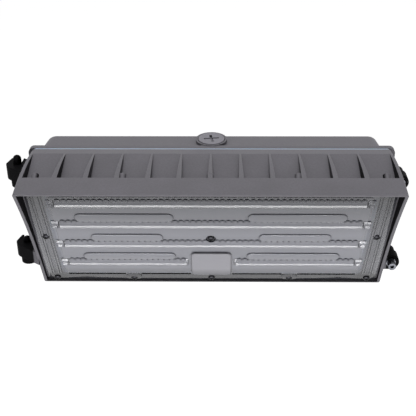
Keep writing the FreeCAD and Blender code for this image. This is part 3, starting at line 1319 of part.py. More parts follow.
def build():
    """Every piece of the light by its node name."""
    nodes = {
        "back_box": back_box(),
        "conduit_plug": conduit_plug(),
        "door_gasket": door_gasket(),
        "wall_gasket": wall_gasket_ring(WALL_GASKET_PLAY),
        "entry_grommet": entry_grommet(),
        "ground_screw": ground_screw(),
        "hinge_posts": Part.makeCompound([hinge_post(top, rise)
                                          for top, rise in zip(HINGE_TOPS, POST_RISES)]),
        "door_housing": door_housing(),
        "lens": lens(),
        "lens_gasket": lens_gasket_ring(GASKET_SIDE_PLAY, GASKET_END_PLAY),
        "lens_edge_screws": Part.makeCompound([lens_screw(x, a) for x, a in
                                               TOP_SCREWS + BOTTOM_SCREWS + SIDE_SCREWS]),
        "lens_middle_screw": lens_screw(*MIDDLE_SCREW),
        "led_board": led_board(),
        "board_screws": Part.makeCompound([board_screw(x, a) for x, a in board_screw_places()]),
        "wire_connector": wire_connector(),
        "plate_grommet": plate_grommet(),
        "driver_case": driver_case(),
        "driver_end_caps": driver_caps(),
        "driver_screws": driver_screws(),
        "output_leads": output_leads(),
        "lead_clip": lead_clip(),
        "wire_nuts": wire_nuts(),
        "wire_nut_clip": nut_clip(),
    }
    for name, lead in zip(("line_lead", "neutral_lead", "ground_lead"), input_leads()):
        nodes[name] = lead
    for i in range(LED_ROWS):
        nodes[f"led_row_{i + 1}"] = led_row(i)
    for name, z in zip(("upper", "lower"), EAR_HEIGHTS):
        nodes[f"captive_screw_{name}"] = captive_screw(z)
        nodes[f"screw_retainer_{name}"] = retainer(z)
    return nodes


os.makedirs("parts", exist_ok=True)
for node, shape in build().items():
    if not shape.isValid():
        raise ValueError(f"{node} is not a valid solid")
    shape.exportStep(f"parts/{node}.step")
    print(node, len(shape.Solids), round(shape.Volume, 1))
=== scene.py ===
"""Looks of a wall-mounted area light, built round its packed construction model.

Lengths are metres in the light's own frame: X to the viewer's right, Y into the wall, Z up.
"""
import logging
import math
from abc import ABC, abstractmethod
from collections.abc import Callable, Sequence
from dataclasses import dataclass, field
from enum import Enum
from typing import Any

import bmesh
import bpy
from mathutils import Matrix, Vector


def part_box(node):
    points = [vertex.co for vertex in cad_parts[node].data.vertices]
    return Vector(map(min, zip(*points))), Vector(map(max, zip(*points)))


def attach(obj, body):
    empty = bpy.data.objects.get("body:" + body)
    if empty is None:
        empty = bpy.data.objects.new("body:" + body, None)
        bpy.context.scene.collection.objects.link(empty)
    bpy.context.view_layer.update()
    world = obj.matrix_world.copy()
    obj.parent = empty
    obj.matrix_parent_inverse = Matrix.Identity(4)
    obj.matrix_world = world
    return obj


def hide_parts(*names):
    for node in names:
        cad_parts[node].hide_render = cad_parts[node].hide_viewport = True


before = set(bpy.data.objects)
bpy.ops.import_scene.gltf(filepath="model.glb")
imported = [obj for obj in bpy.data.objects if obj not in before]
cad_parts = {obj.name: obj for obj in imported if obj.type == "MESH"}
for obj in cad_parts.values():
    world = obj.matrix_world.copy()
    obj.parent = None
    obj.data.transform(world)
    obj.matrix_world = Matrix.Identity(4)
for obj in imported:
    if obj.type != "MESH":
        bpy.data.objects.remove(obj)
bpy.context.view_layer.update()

MM = 0.001
NEAR = 0.02 * MM  # places closer than this count as one
NOISE_SPAN = (0.3, 0.7)  # where nearly all of a noise texture's values lie
OCCLUSION_SAMPLES = 6
BEVEL_SAMPLES = 4
WAVE_RADIANS = 20  # what a wave texture runs through in one unit
SOFT, CRISP = 2.0, 3.0  # octaves of a noise texture
LED_ROWS = ("led_row_1", "led_row_2", "led_row_3", "led_row_4")
LOG = logging.getLogger("wall_light")

Tree = bpy.types.NodeTree
Node = bpy.types.Node
Socket = bpy.types.NodeSocket
Piece = bpy.types.Object
WHITE = (1.0, 1.0, 1.0, 1.0)


# ---- node and colour tools ----

def srgb(code: str) -> tuple[float, float, float, float]:
    """Turns an sRGB hex colour into Blender's linear one.

    Args:
        code: six hex digits after a hash.

    Returns:
        Red, green, blue and an alpha of 1.
    """
    shares = [int(code[i:i + 2], 16) / 255 for i in (1, 3, 5)]
    linear = [s / 12.92 if s <= 0.04045 else ((s + 0.055) / 1.055) ** 2.4 for s in shares]
    return (*linear, 1.0)


def add_node(tree: Tree, kind: str, settings: dict[Any, Any] | None = None,
             links: dict[Any, Socket] | None = None) -> Node:
    """Adds one shader node.

    Args:
        tree: the material's or the world's node tree.
        kind: the node's type.
        settings: values by attribute name, or by the name or number of an input.
        links: feeding sockets by the name or number of the input that they feed.

    Returns:
        The new node.
    """
    node = tree.nodes.new(kind)
    for key, value in (settings or {}).items():
        if isinstance(key, str) and hasattr(node, key):
            setattr(node, key, value)
        else:
            node.inputs[key].default_value = value
    for key, socket in (links or {}).items():
        tree.links.new(socket, node.inputs[key])
    return node


def mm(*sizes: float) -> tuple[float, ...]:
    """Sizes in millimetres as metres."""
    return tuple(size * MM for size in sizes)


def per_metre(size_mm: float) -> float:
    """The texture scale at which one feature is as large as a size in millimetres."""
    return 1 / (size_mm * MM)


def ramp(tree: Tree, value: Socket, start: float, end: float, first: float, last: float) -> Socket:
    """Takes a value from start to end into one from first to last, and no further at either end."""
    return add_node(tree, "ShaderNodeMapRange",
                    {"From Min": start, "From Max": end, "To Min": first, "To Max": last},
                    {"Value": value}).outputs[0]


def maths(tree: Tree, operation: str, first: Socket, second: Socket | float = 0.0) -> Socket:
    """One step of arithmetic, on one value or two."""
    settings, links = {"operation": operation}, {0: first}
    if isinstance(second, float):
        settings[1] = second
    else:
        links[1] = second
    return add_node(tree, "ShaderNodeMath", settings, links).outputs[0]


def product(tree: Tree, factors: Sequence[Socket]) -> Socket:
    """The product of several values."""
    result = factors[0]
    for factor in factors[1:]:
        result = maths(tree, "MULTIPLY", result, factor)
    return result


def noise(tree: Tree, place: Socket, size_mm: float, detail: float, distortion: float = 0.0) -> Socket:
    """A noise whose features have a size in millimetres."""
    return add_node(tree, "ShaderNodeTexNoise",
                    {"Scale": per_metre(size_mm), "Detail": detail, "Distortion": distortion},
                    {"Vector": place}).outputs[0]


def scaled(tree: Tree, colour: Socket | str, factor: Socket) -> Socket:
    """A colour, as a socket or a hex code, times a factor."""
    settings, links = {"operation": "SCALE"}, {"Scale": factor}
    if isinstance(colour, str):
        settings[0] = srgb(colour)[:3]
    else:
        links[0] = colour
    return add_node(tree, "ShaderNodeVectorMath", settings, links).outputs[0]


def blended(tree: Tree, share: Socket, first: str, second: str) -> Socket:
    """A blend of two hex colours, by the share of the second."""
    return add_node(tree, "ShaderNodeMix", {"data_type": "RGBA", 6: srgb(first), 7: srgb(second)},
                    {0: share}).outputs[2]


def bumped(tree: Tree, height: Socket, strength: float, depth_mm: float,
           normal: Socket | None = None) -> Socket:
    """A surface normal with a height as bump."""
    links = {"Height": height} if normal is None else {"Height": height, "Normal": normal}
    return add_node(tree, "ShaderNodeBump", {"Strength": strength, "Distance": depth_mm * MM},
                    links).outputs[0]


def openness(tree: Tree, reach_mm: float) -> Socket:
    """How open the surroundings are within a reach: low in corners."""
    return add_node(tree, "ShaderNodeAmbientOcclusion",
                    {"samples": OCCLUSION_SAMPLES, "Distance": reach_mm * MM}).outputs["AO"]


def split(tree: Tree, vector: Socket) -> bpy.types.bpy_prop_collection:
    """A vector's X, Y and Z, as sockets by these names."""
    return add_node(tree, "ShaderNodeSeparateXYZ", links={0: vector}).outputs


def own_normal(tree: Tree) -> Socket:
    """The surface's direction in the object's own axes."""
    return add_node(tree, "ShaderNodeTexCoord").outputs["Normal"]


# ---- finishes ----

@dataclass(frozen=True)
class Shade:
    """A fade of the tone: 1 as far as the start, and down to a lesser one at the end and beyond."""

    start: float
    end: float
    tone: float

    def along(self, tree: Tree, value: Socket, unit: float = 1.0) -> Socket:
        """The tone at a value, with start and end in a unit."""
        return ramp(tree, value, self.start * unit, self.end * unit, 1.0, self.tone)


@dataclass(frozen=True)
class Finish(ABC):
    """A surface finish that any piece can be dressed in."""

    name: str

    @abstractmethod
    def lay_out(self, tree: Tree, shader: Node, place: Socket) -> dict[str, Socket]:
        """Adds the finish's own nodes.

        Args:
            tree: the material's node tree.
            shader: its Principled shader, whose plain values this sets.
            place: the Object coordinates.

        Returns:
            What feeds the shader's inputs, by their names.
        """

    def material(self) -> bpy.types.Material:
        """The finish's material, made at its first use."""
        made = bpy.data.materials.get(self.name)
        if made is not None:
            return made
        made = bpy.data.materials.new(self.name)
        made.use_nodes = True
        tree = made.node_tree
        shader = tree.nodes["Principled BSDF"]
        place = add_node(tree, "ShaderNodeTexCoord").outputs["Object"]
        for name, socket in self.lay_out(tree, shader, place).items():
            tree.links.new(socket, shader.inputs[name])
        return made

    def dress(self, piece: Piece) -> None:
        """Gives a piece this finish in place of what it had."""
        piece.data.materials.clear()
        piece.data.materials.append(self.material())


@dataclass(frozen=True)
class PowderCoat(Finish):
    """Die-cast aluminium under a baked powder coat: satin, with orange peel and paler edges."""

    colour: str = "#716f75"
    edge_colour: str = "#8d8b91"
    peel_mm: float = 1.7  # drawn coarser than the real 0.5 mm so that it shows
    peel_strength: float = 0.22
    peel_depth_mm: float = 0.15
    peel_tones: tuple[float, float] = (0.95, 1.05)
    peel_span: tuple[float, float] = (0.35, 0.65)
    cloud_mm: float = 38.0  # slow changes of tone across a casting
    cloud_tones: tuple[float, float] = (0.90, 1.08)
    edge_mm: float = 0.7
    edge_turn: tuple[float, float] = (0.995, 0.80)  # cosines between which an edge grows paler
    edge_share: float = 0.55
    roughness: tuple[float, float] = (0.46, 0.60)
    gloss: float = 0.35
    crevice_mm: float = 26.0  # how far into a corner the painted shade reaches
    crevice: Shade = Shade(1.0, 0.30, 0.75)
    ear: Shade = Shade(181.8, 183.0, 0.045)  # painted shade on hooks and ears, by mm to the side
    inner: Shade = Shade(-0.03, -0.13, 0.10)  # painted shade on faces turned to the middle, by X in metres times normal
    lip: Shade = Shade(-74.2, -75.0, 0.35)  # painted shade on the bottom wall's edge, by height in mm

    def painted_shade(self, tree: Tree, place: Socket) -> Socket:
        """A factor for the colour that paints shade: dark in crevices, inner sides, hooks, ears and
        lip.
        """
        spot, facing = split(tree, place), split(tree, own_normal(tree))
        return product(tree, [
            self.crevice.along(tree, openness(tree, self.crevice_mm)),
            self.ear.along(tree, maths(tree, "ABSOLUTE", spot["X"]), MM),
            self.inner.along(tree, maths(tree, "MULTIPLY", spot["X"], facing["X"])),
            self.lip.along(tree, spot["Z"], MM),
        ])

    def lay_out(self, tree: Tree, shader: Node, place: Socket) -> dict[str, Socket]:
        """Orange peel as bump, clouding and paler edges as colour, and painted shade, which also dims
        the gloss, in crevices, on inner sides, hooks, ears and the lip.
        """
        peel = noise(tree, place, self.peel_mm, CRISP)
        cloud = noise(tree, place, self.cloud_mm, SOFT)
        rounded = add_node(tree, "ShaderNodeBevel",
                           {"samples": BEVEL_SAMPLES, "Radius": self.edge_mm * MM}).outputs[0]
        flat = add_node(tree, "ShaderNodeNewGeometry").outputs["Normal"]
        turn = add_node(tree, "ShaderNodeVectorMath", {"operation": "DOT_PRODUCT"},
                        {0: rounded, 1: flat}).outputs["Value"]
        edge = ramp(tree, turn, *self.edge_turn, 0.0, self.edge_share)
        # painted shade in corners, on inner sides, hooks, ears and the lip; it also dims the gloss
        painted_dark = self.painted_shade(tree, place)
        clouded = ramp(tree, cloud, *NOISE_SPAN, *self.cloud_tones)
        speckled = ramp(tree, peel, *self.peel_span, *self.peel_tones)
        tone = product(tree, [clouded, speckled, painted_dark])
        return {
            "Base Color": scaled(tree, blended(tree, edge, self.colour, self.edge_colour), tone),
            "Roughness": ramp(tree, cloud, *NOISE_SPAN, *self.roughness),
            "Specular IOR Level": maths(tree, "MULTIPLY", painted_dark, self.gloss),
            "Normal": bumped(tree, peel, self.peel_strength, self.peel_depth_mm, rounded),
        }


@dataclass(frozen=True)
class Moulding(Finish):
    """A moulded or extruded polymer: even colour, faint flow marks and a fine tool texture."""

    colour: str = "#202022"
    roughness: float = 0.5
    roughness_change: float = 0.08
    grain_mm: float = 0.9
    grain_strength: float = 0.3
    grain_depth_mm: float = 0.04
    flow_mm: float = 14.0
    flow_bend: float = 0.6
    variation: float = 0.10
    glow: float = 0.0  # share of light that scatters inside
    glow_mm: float = 2.0

    def lay_out(self, tree: Tree, shader: Node, place: Socket) -> dict[str, Socket]:
        """Tool texture as bump, flow marks as tone and gloss."""
        grain = noise(tree, place, self.grain_mm, SOFT)
        flow = noise(tree, place, self.flow_mm, CRISP, self.flow_bend)
        tone = ramp(tree, flow, *NOISE_SPAN, 1 - self.variation, 1 + self.variation)
        least, most = self.roughness - self.roughness_change, self.roughness + self.roughness_change
        shader.inputs["Subsurface Weight"].default_value = self.glow
        shader.inputs["Subsurface Scale"].default_value = self.glow_mm * MM
        return {
            "Base Color": scaled(tree, self.colour, tone),
            "Roughness": ramp(tree, flow, *NOISE_SPAN, least, most),
            "Normal": bumped(tree, grain, self.grain_strength, self.grain_depth_mm),
        }


class Working(Enum):
    """How a bare metal surface was made: the stretch of its marks along X, Y and Z."""

    ROLLED = (0.05, 1.0, 1.0)
    TURNED = (1.0, 0.08, 1.0)
    TUMBLED = (1.0, 1.0, 1.0)


@dataclass(frozen=True)
class Metal(Finish):
    """Bare or plated metal with the marks of how it was made."""

    colour: str = "#b4b4b6"
    stain: str = "#8b8a8a"
    roughness: float = 0.3
    roughness_changes: tuple[float, float] = (-0.08, 0.12)
    working: Working = Working.TUMBLED
    mark_mm: float = 0.7
    mark_strength: float = 0.25
    mark_depth_mm: float = 0.03
    stain_mm: float = 6.0
    stain_span: tuple[float, float] = (0.45, 0.75)
    stain_share: float = 0.6

    def lay_out(self, tree: Tree, shader: Node, place: Socket) -> dict[str, Socket]:
        """Stretched marks as bump and gloss, slow stains as colour."""
        shader.inputs["Metallic"].default_value = 1.0
        along = add_node(tree, "ShaderNodeMapping", {"Scale": self.working.value}, {"Vector": place})
        marks = noise(tree, along.outputs[0], self.mark_mm, CRISP)
        stains = noise(tree, place, self.stain_mm, CRISP)
        share = ramp(tree, stains, *self.stain_span, 0.0, self.stain_share)
        least, most = (self.roughness + change for change in self.roughness_changes)
        return {
            "Base Color": blended(tree, share, self.colour, self.stain),
            "Roughness": ramp(tree, marks, *NOISE_SPAN, least, most),
            "Normal": bumped(tree, marks, self.mark_strength, self.mark_depth_mm),
        }


@dataclass(frozen=True)
class ClearMoulding(Finish):
    """Injection-moulded polycarbonate: clear and glossy, or frosted by a textured tool."""

    colour: str = "#f2f4f8"
    roughness: float = 0.05
    roughness_shares: tuple[float, float] = (0.7, 1.4)
    clearness: float = 0.9
    ior: float = 1.585
    ripple_mm: float = 9.0
    ripple_strength: float = 0.02
    ripple_depth_mm: float = 0.2
    crevice_mm: float = 2.6
    shelter_mm: float = 24.0
    # painted shade by the normal's upward share: flanks that face up look into the dark under the
    # visor, and flanks that face down are darker too
    upward: Shade = Shade(0.40, 0.88, 0.22)
    downward: Shade = Shade(-0.60, -0.90, 0.70)
    # by openness: light is lost at the feet of raised forms, and close to the visor and the side walls
    crevice: Shade = Shade(0.9, 0.4, 0.45)
    shelter: Shade = Shade(0.95, 0.45, 0.55)
    # painted shade by height in mm: the rim over dark paint, the panel's foot, the visor's soft shade,
    # and the visor
    heights: tuple[Shade, ...] = (Shade(-62.1, -63.1, 0.42), Shade(-50.5, -61.1, 0.50),
                                  Shade(5.0, 57.0, 0.42), Shade(57.0, 64.0, 0.50))
    # painted shade by mm to the side: the borders, which lie over dark paint too
    border: Shade = Shade(151.0, 153.0, 0.62)

    def light(self, tree: Tree, place: Socket) -> Socket:
        """A factor for the colour that paints shade: dark at feet, upward and downward flanks and
        borders, and by the visor.
        """
        spot, upright = split(tree, place), split(tree, own_normal(tree))["Z"]
        return product(tree, [
            self.upward.along(tree, upright),
            self.shelter.along(tree, openness(tree, self.shelter_mm)),
            self.crevice.along(tree, openness(tree, self.crevice_mm)),
            self.downward.along(tree, upright),
            *(shade.along(tree, spot["Z"], MM) for shade in self.heights),
            self.border.along(tree, maths(tree, "ABSOLUTE", spot["X"]), MM),
        ])

    def lay_out(self, tree: Tree, shader: Node, place: Socket) -> dict[str, Socket]:
        """The tool's ripple as bump, a faint haze as gloss, and painted shade in the colour where
        little light arrives.
        """
        shader.inputs["Transmission Weight"].default_value = self.clearness
        shader.inputs["IOR"].default_value = self.ior
        ripple = noise(tree, place, self.ripple_mm, SOFT)
        least, most = (self.roughness * share for share in self.roughness_shares)
        return {
            "Base Color": scaled(tree, self.colour, self.light(tree, place)),
            "Roughness": ramp(tree, ripple, *NOISE_SPAN, least, most),
            "Normal": bumped(tree, ripple, self.ripple_strength, self.ripple_depth_mm),
        }


@dataclass(frozen=True)
class SolderMask(Finish):
    """White solder mask over a printed copper pattern, which shows as faint raised bars."""

    colour: str = "#e4e5e4"
    track_colour: str = "#cfd2d0"
    track_mm: float = 5.7  # width of a copper land, and of the gap beside it
    track_span: tuple[float, float] = (0.35, 0.45)
    track_strength: float = 0.2
    track_depth_mm: float = 0.05
    roughness: float = 0.32

    def lay_out(self, tree: Tree, shader: Node, place: Socket) -> dict[str, Socket]:
        """Copper lands as tone and bump."""
        scale = per_metre(self.track_mm) / WAVE_RADIANS * math.pi
        lands = add_node(tree, "ShaderNodeTexWave",
                         {"bands_direction": "X", "Scale": scale, "Distortion": 0.0, "Detail": 0.0},
                         {"Vector": place})
        step = ramp(tree, lands.outputs["Fac"], *self.track_span, 0.0, 1.0)
        shader.inputs["Roughness"].default_value = self.roughness
        return {
            "Base Color": blended(tree, step, self.track_colour, self.colour),
            "Normal": bumped(tree, step, self.track_strength, self.track_depth_mm),
        }


@dataclass(frozen=True)
class Phosphor(Finish):
    """An unlit LED: yellow phosphor in silicone, in a white frame."""

    colour: str = "#d9c25a"
    frame_colour: str = "#e9e7dd"
    grain_mm: float = 0.5
    roughness: float = 0.25

    def lay_out(self, tree: Tree, shader: Node, place: Socket) -> dict[str, Socket]:
        """Mottled phosphor grains."""
        grains = add_node(tree, "ShaderNodeTexVoronoi", {"Scale": per_metre(self.grain_mm)},
                          {"Vector": place}).outputs["Distance"]
        shader.inputs["Roughness"].default_value = self.roughness
        return {"Base Color": blended(tree, grains, self.colour, self.frame_colour)}


# Polyester powder baked on die-cast aluminium: satin grey, with a peel that breaks up the highlights,
# paler edges, and painted shade in corners, on hooks, ears, inner sides and the bottom edge.
CASTING = PowderCoat("powder_coated_die_casting")
# The same coat on a small plug, coated apart from the box: a shade paler, with painted shade
# that makes its cross slot black.
PLUG_COAT = PowderCoat("powder_coated_plug", "#94929a", edge_colour="#b0aeb6", cloud_mm=12.0,
                       crevice_mm=2.5, crevice=Shade(1.0, 0.30, 0.05))
# Cast silicone: smooth and faintly translucent, so the seam shows as a thin line with a blue cast.
SILICONE = Moulding("cast_silicone", "#c8d6ea", roughness=0.42, grain_mm=1.2, flow_mm=20.0,
                    variation=0.05, glow=0.15)
# Closed-cell sponge: dull black, pitted all over. Its 0.3 mm pores are drawn at 1.1 mm to show.
FOAM = Moulding("closed_cell_foam", "#1b1b1d", roughness=0.85, grain_mm=1.1, grain_depth_mm=0.25)
# Moulded rubber: black and dull, with a soft bloom and hardly a highlight.
BLACK_RUBBER = Moulding("moulded_black_rubber", "#19191a", roughness=0.7, grain_mm=0.8)
# Glass-filled nylon: black, with a dull sheen. The 0.2 mm grain of its tool is drawn at 0.7 mm to show.
BLACK_NYLON = Moulding("moulded_black_nylon", "#1d1d1f", roughness=0.45, grain_mm=0.7)
# Plain nylon: waxy off-white that light enters a little way.
WHITE_NYLON = Moulding("moulded_white_nylon", "#e2e1dc", roughness=0.4, variation=0.04, glow=0.2)
# Polypropylene: saturated orange with a greasy sheen and flow marks.
ORANGE_NUT = Moulding("moulded_orange_polypropylene", "#d65a14", roughness=0.38, variation=0.06)
# Extruded PVC: even colour, semi-gloss. The faint marks of its die are drawn at 1.5 mm to show.
RED_PVC = Moulding("extruded_red_pvc", "#9c1d17", roughness=0.35, grain_mm=1.5)
BLACK_PVC = Moulding("extruded_black_pvc", "#161617", roughness=0.35, grain_mm=1.5)
WHITE_PVC = Moulding("extruded_white_pvc", "#dedfdd", roughness=0.35, grain_mm=1.5, variation=0.04)
GREEN_PVC = Moulding("extruded_green_pvc", "#1f7a36", roughness=0.35, grain_mm=1.5)
# Stainless pan heads: a nearly black colour that paints the dark they reflect, with small hard
# highlights.
DARK_STEEL = Metal("stainless_pan_head_painted_dark", "#2d2d30", stain="#1c1c1e", roughness=0.34)
# Turned stainless steel: a dark mirror, its colour darkened to paint the dark it reflects, with rings
# from the tool, which stretch its highlights.
STAINLESS = Metal("turned_stainless_steel", "#4c4d51", stain="#2f2f32", roughness=0.26,
                  working=Working.TURNED)
# Zinc on steel: a warm pale grey with a bright sheen and duller patches.
ZINC = Metal("zinc_plated_steel", "#a9a7a3", stain="#77736d", roughness=0.30)
# Zinc dyed green for the earth: metallic green that is darker in patches.
GREEN_ZINC = Metal("green_dyed_zinc_plating", "#2f7a45", stain="#1d5a31", roughness=0.34)
# Rolled aluminium sheet: pale, with fine lines along it. The 0.1 mm lines are drawn at 0.5 mm to show.
DRIVER_ALUMINIUM = Metal("rolled_aluminium_sheet", "#b9babd", stain="#a2a3a6", roughness=0.36,
                         working=Working.ROLLED, mark_mm=0.5, stain_mm=25.0)
# Clear polycarbonate: glossy, with hard highlights on its bars, greyed by what lies behind it,
# and with painted shade under the visor, at its feet and on its borders.
CLEAR_LENS = ClearMoulding("clear_polycarbonate", "#c6c7d2", roughness=0.12, clearness=0.55)
# Polycarbonate from a spark-eroded tool: a pale grey without highlights, with the same painted shade as
# the clear lens.
# Its fine grain is drawn at 0.8 mm to show.
FROSTED_LENS = ClearMoulding("frosted_polycarbonate", "#b3b2b9", roughness=0.55, clearness=0.10,
                             ripple_mm=0.8, ripple_strength=0.3)
# Solder mask over copper: glossy white, with the copper lands as faint raised bars.
BOARD_MASK = SolderMask("white_solder_mask")
# Phosphor grains in silicone: yellow and mottled. The 0.02 mm grains are drawn at 0.5 mm to show.
LED_PHOSPHOR = Phosphor("led_phosphor")


# ---- modelling tools ----

def clear_selection() -> None:
    """Leaves edit mode and deselects everything."""
    if bpy.context.object is not None and bpy.context.object.mode != "OBJECT":
        bpy.ops.object.mode_set(mode="OBJECT")
    bpy.ops.object.select_all(action="DESELECT")


def take(piece: Piece) -> None:
    """Selects one piece alone and makes it active."""
    clear_selection()
    piece.select_set(True)
    bpy.context.view_layer.objects.active = piece


def name_piece(name: str) -> Piece:
    """Names the active object and its mesh, and returns it."""
    piece = bpy.context.object
    piece.name = name
    piece.data.name = name
    return piece


def pick(piece: Piece, test: Callable[[Vector], bool]) -> None:
    """Selects, in edit mode, the vertices whose place passes a test, and what lies between them."""
    bpy.ops.mesh.select_mode(type="VERT")
    bpy.ops.mesh.select_all(action="DESELECT")
    mesh = bmesh.from_edit_mesh(piece.data)
    for vertex in mesh.verts:
        vertex.select = test(vertex.co)
    mesh.select_flush(True)
    bmesh.update_edit_mesh(piece.data)


def pick_edges(piece: Piece, test: Callable[[Vector, Vector], bool]) -> None:
    """Selects, in edit mode, the edges whose two ends pass a test together."""
    bpy.ops.mesh.select_mode(type="EDGE")
    bpy.ops.mesh.select_all(action="DESELECT")
    mesh = bmesh.from_edit_mesh(piece.data)
    for edge in mesh.edges:
        edge.select = test(edge.verts[0].co, edge.verts[1].co)
    bmesh.update_edit_mesh(piece.data)


def open_up() -> None:
    """Enters edit mode with everything selected."""
    bpy.ops.object.mode_set(mode="EDIT")
    bpy.ops.mesh.select_all(action="SELECT")


def shift(x: float, y: float, z: float) -> None:
    """Moves what is selected in edit mode."""
    bpy.ops.transform.translate(value=(x, y, z))


def draw_face(name: str, points: Sequence[Vector]) -> Piece:
    """Draws a closed outline and fills it, and stays in edit mode with the face selected.

    Args:
        name: the new piece's name.
        points: the outline's corners in order.

    Returns:
        The new piece.
    """
    clear_selection()
    bpy.ops.mesh.primitive_plane_add(size=MM)
    piece = name_piece(name)
    open_up()
    bpy.ops.mesh.merge(type="CENTER")
    shift(*points[0])
    here = Vector(points[0])
    for point in points[1:]:
        there = Vector(point)
        bpy.ops.mesh.extrude_vertices_move(TRANSFORM_OT_translate={"value": there - here})
        here = there
    bpy.ops.mesh.select_all(action="SELECT")
    bpy.ops.mesh.edge_face_add()
    bpy.ops.mesh.select_all(action="SELECT")
    return piece


def push(x: float, y: float, z: float) -> None:
    """Extrudes what is selected in edit mode."""
    bpy.ops.mesh.extrude_region_move(TRANSFORM_OT_translate={"value": (x, y, z)})


def close_up(piece: Piece) -> Piece:
    """Points all faces outwards and leaves edit mode."""
    bpy.ops.mesh.select_all(action="SELECT")
    bpy.ops.mesh.normals_make_consistent(inside=False)
    bpy.ops.object.mode_set(mode="OBJECT")
    return piece


@dataclass(frozen=True)
class Rounding:
    """How the edges of a box are rounded."""

    corner: float  # radius of the four corners seen from the front
    rim: float = 0.0  # radius of the front edge, on the side of the lesser Z
    rim_steps: int = 2
    corner_steps: int = 6


def rounded_box(name: str, low: Vector, high: Vector, rounding: Rounding) -> Piece:
    """A box with rounded upright corners and a rounded front rim, in the slope's own axes.

    Args:
        name: the new piece's name.
        low: its lowest corner.
        high: its highest corner.
        rounding: how its edges are rounded.

    Returns:
        The new piece.
    """
    clear_selection()
    size = high - low
    bpy.ops.mesh.primitive_cube_add(size=1.0)
    piece = name_piece(name)
    open_up()
    bpy.ops.transform.resize(value=size)
    shift(*((low + high) / 2))
    pick_edges(piece, lambda a, b: abs(a.z - b.z) > size.z / 2)
    bpy.ops.mesh.bevel(offset=rounding.corner, segments=rounding.corner_steps, affect="EDGES")
    if rounding.rim > 0:
        pick(piece, lambda p: p.z < low.z + NEAR)
        bpy.ops.mesh.bevel(offset=rounding.rim, segments=rounding.rim_steps, affect="EDGES")
    return close_up(piece)


def round_bar(name: str, radius: float, start: Vector, length: float, sides: int = 24) -> Piece:
    """A cylinder along +Z from a start point."""
    clear_selection()
    bpy.ops.mesh.primitive_cylinder_add(vertices=sides, radius=radius, depth=length)
    piece = name_piece(name)
    open_up()
    shift(start.x, start.y, start.z + length / 2)
    return close_up(piece)


def join(name: str, pieces: Sequence[Piece]) -> Piece:
    """Joins pieces into the first one."""
    take(pieces[0])
    for piece in pieces[1:]:
        piece.select_set(True)
    bpy.ops.object.join()
    return name_piece(name)


def combine(piece: Piece, tool: Piece, operation: str) -> None:
    """Adds a tool to a piece or takes it away, and deletes the tool.

    Args:
        piece: the piece that is changed.
        tool: the closed solid that changes it.
        operation: UNION or DIFFERENCE.
    """
    take(piece)
    step = piece.modifiers.new("combine", "BOOLEAN")
    step.operation = operation
    step.solver = "EXACT"
    step.object = tool
    step.use_self = True
    step.material_mode = "TRANSFER"
    bpy.ops.object.modifier_apply(modifier=step.name)
    bpy.data.objects.remove(tool)


def smooth(piece: Piece, degrees: float) -> None:
    """Shades a piece smooth, apart from its sharper edges."""
    take(piece)
    bpy.ops.object.shade_smooth_by_angle(angle=math.radians(degrees))


# ---- the sloping stack of lens and board ----

@dataclass
class Slope:
    """The tilted plane of the lens and the board: X across, Y down the slope, Z into the door."""

    led_depth: float = 5.45 * MM
    row_nodes: tuple[str, ...] = LED_ROWS
    matrix: Matrix = field(init=False)
    rows: list[float] = field(init=False)

    def __post_init__(self) -> None:
        """Works the plane out from the rows of LEDs."""
        centres = [sum(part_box(node), Vector()) / 2 for node in self.row_nodes]
        down = (centres[2] - centres[0]).normalized()
        across = Vector((1, 0, 0))
        into = across.cross(down)
        origin = centres[0] - into * self.led_depth
        self.matrix = Matrix((across, down, into)).transposed().to_4x4()
        self.matrix.translation = origin
        self.rows = [(centre - centres[0]).dot(down) for centre in centres]

    def box(self, node: str) -> tuple[Vector, Vector]:
        """Lowest and highest corner of a construction node, in the slope's own axes."""
        back = self.matrix.inverted()
        places = [back @ vertex.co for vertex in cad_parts[node].data.vertices]
        low = Vector([min(p[i] for p in places) for i in range(3)])
        high = Vector([max(p[i] for p in places) for i in range(3)])
        return low, high

    def settle(self, piece: Piece) -> None:
        """Puts a piece drawn in the slope's axes in its place, with its object at the origin."""
        take(piece)
        piece.matrix_world = self.matrix
        bpy.ops.object.transform_apply(location=True, rotation=True, scale=True)


@dataclass(frozen=True)
class Raised:
    """A rounded form on the plate: its two ends down the slope, and its height."""

    top: float
    bottom: float
    height: float
    rounding: Rounding


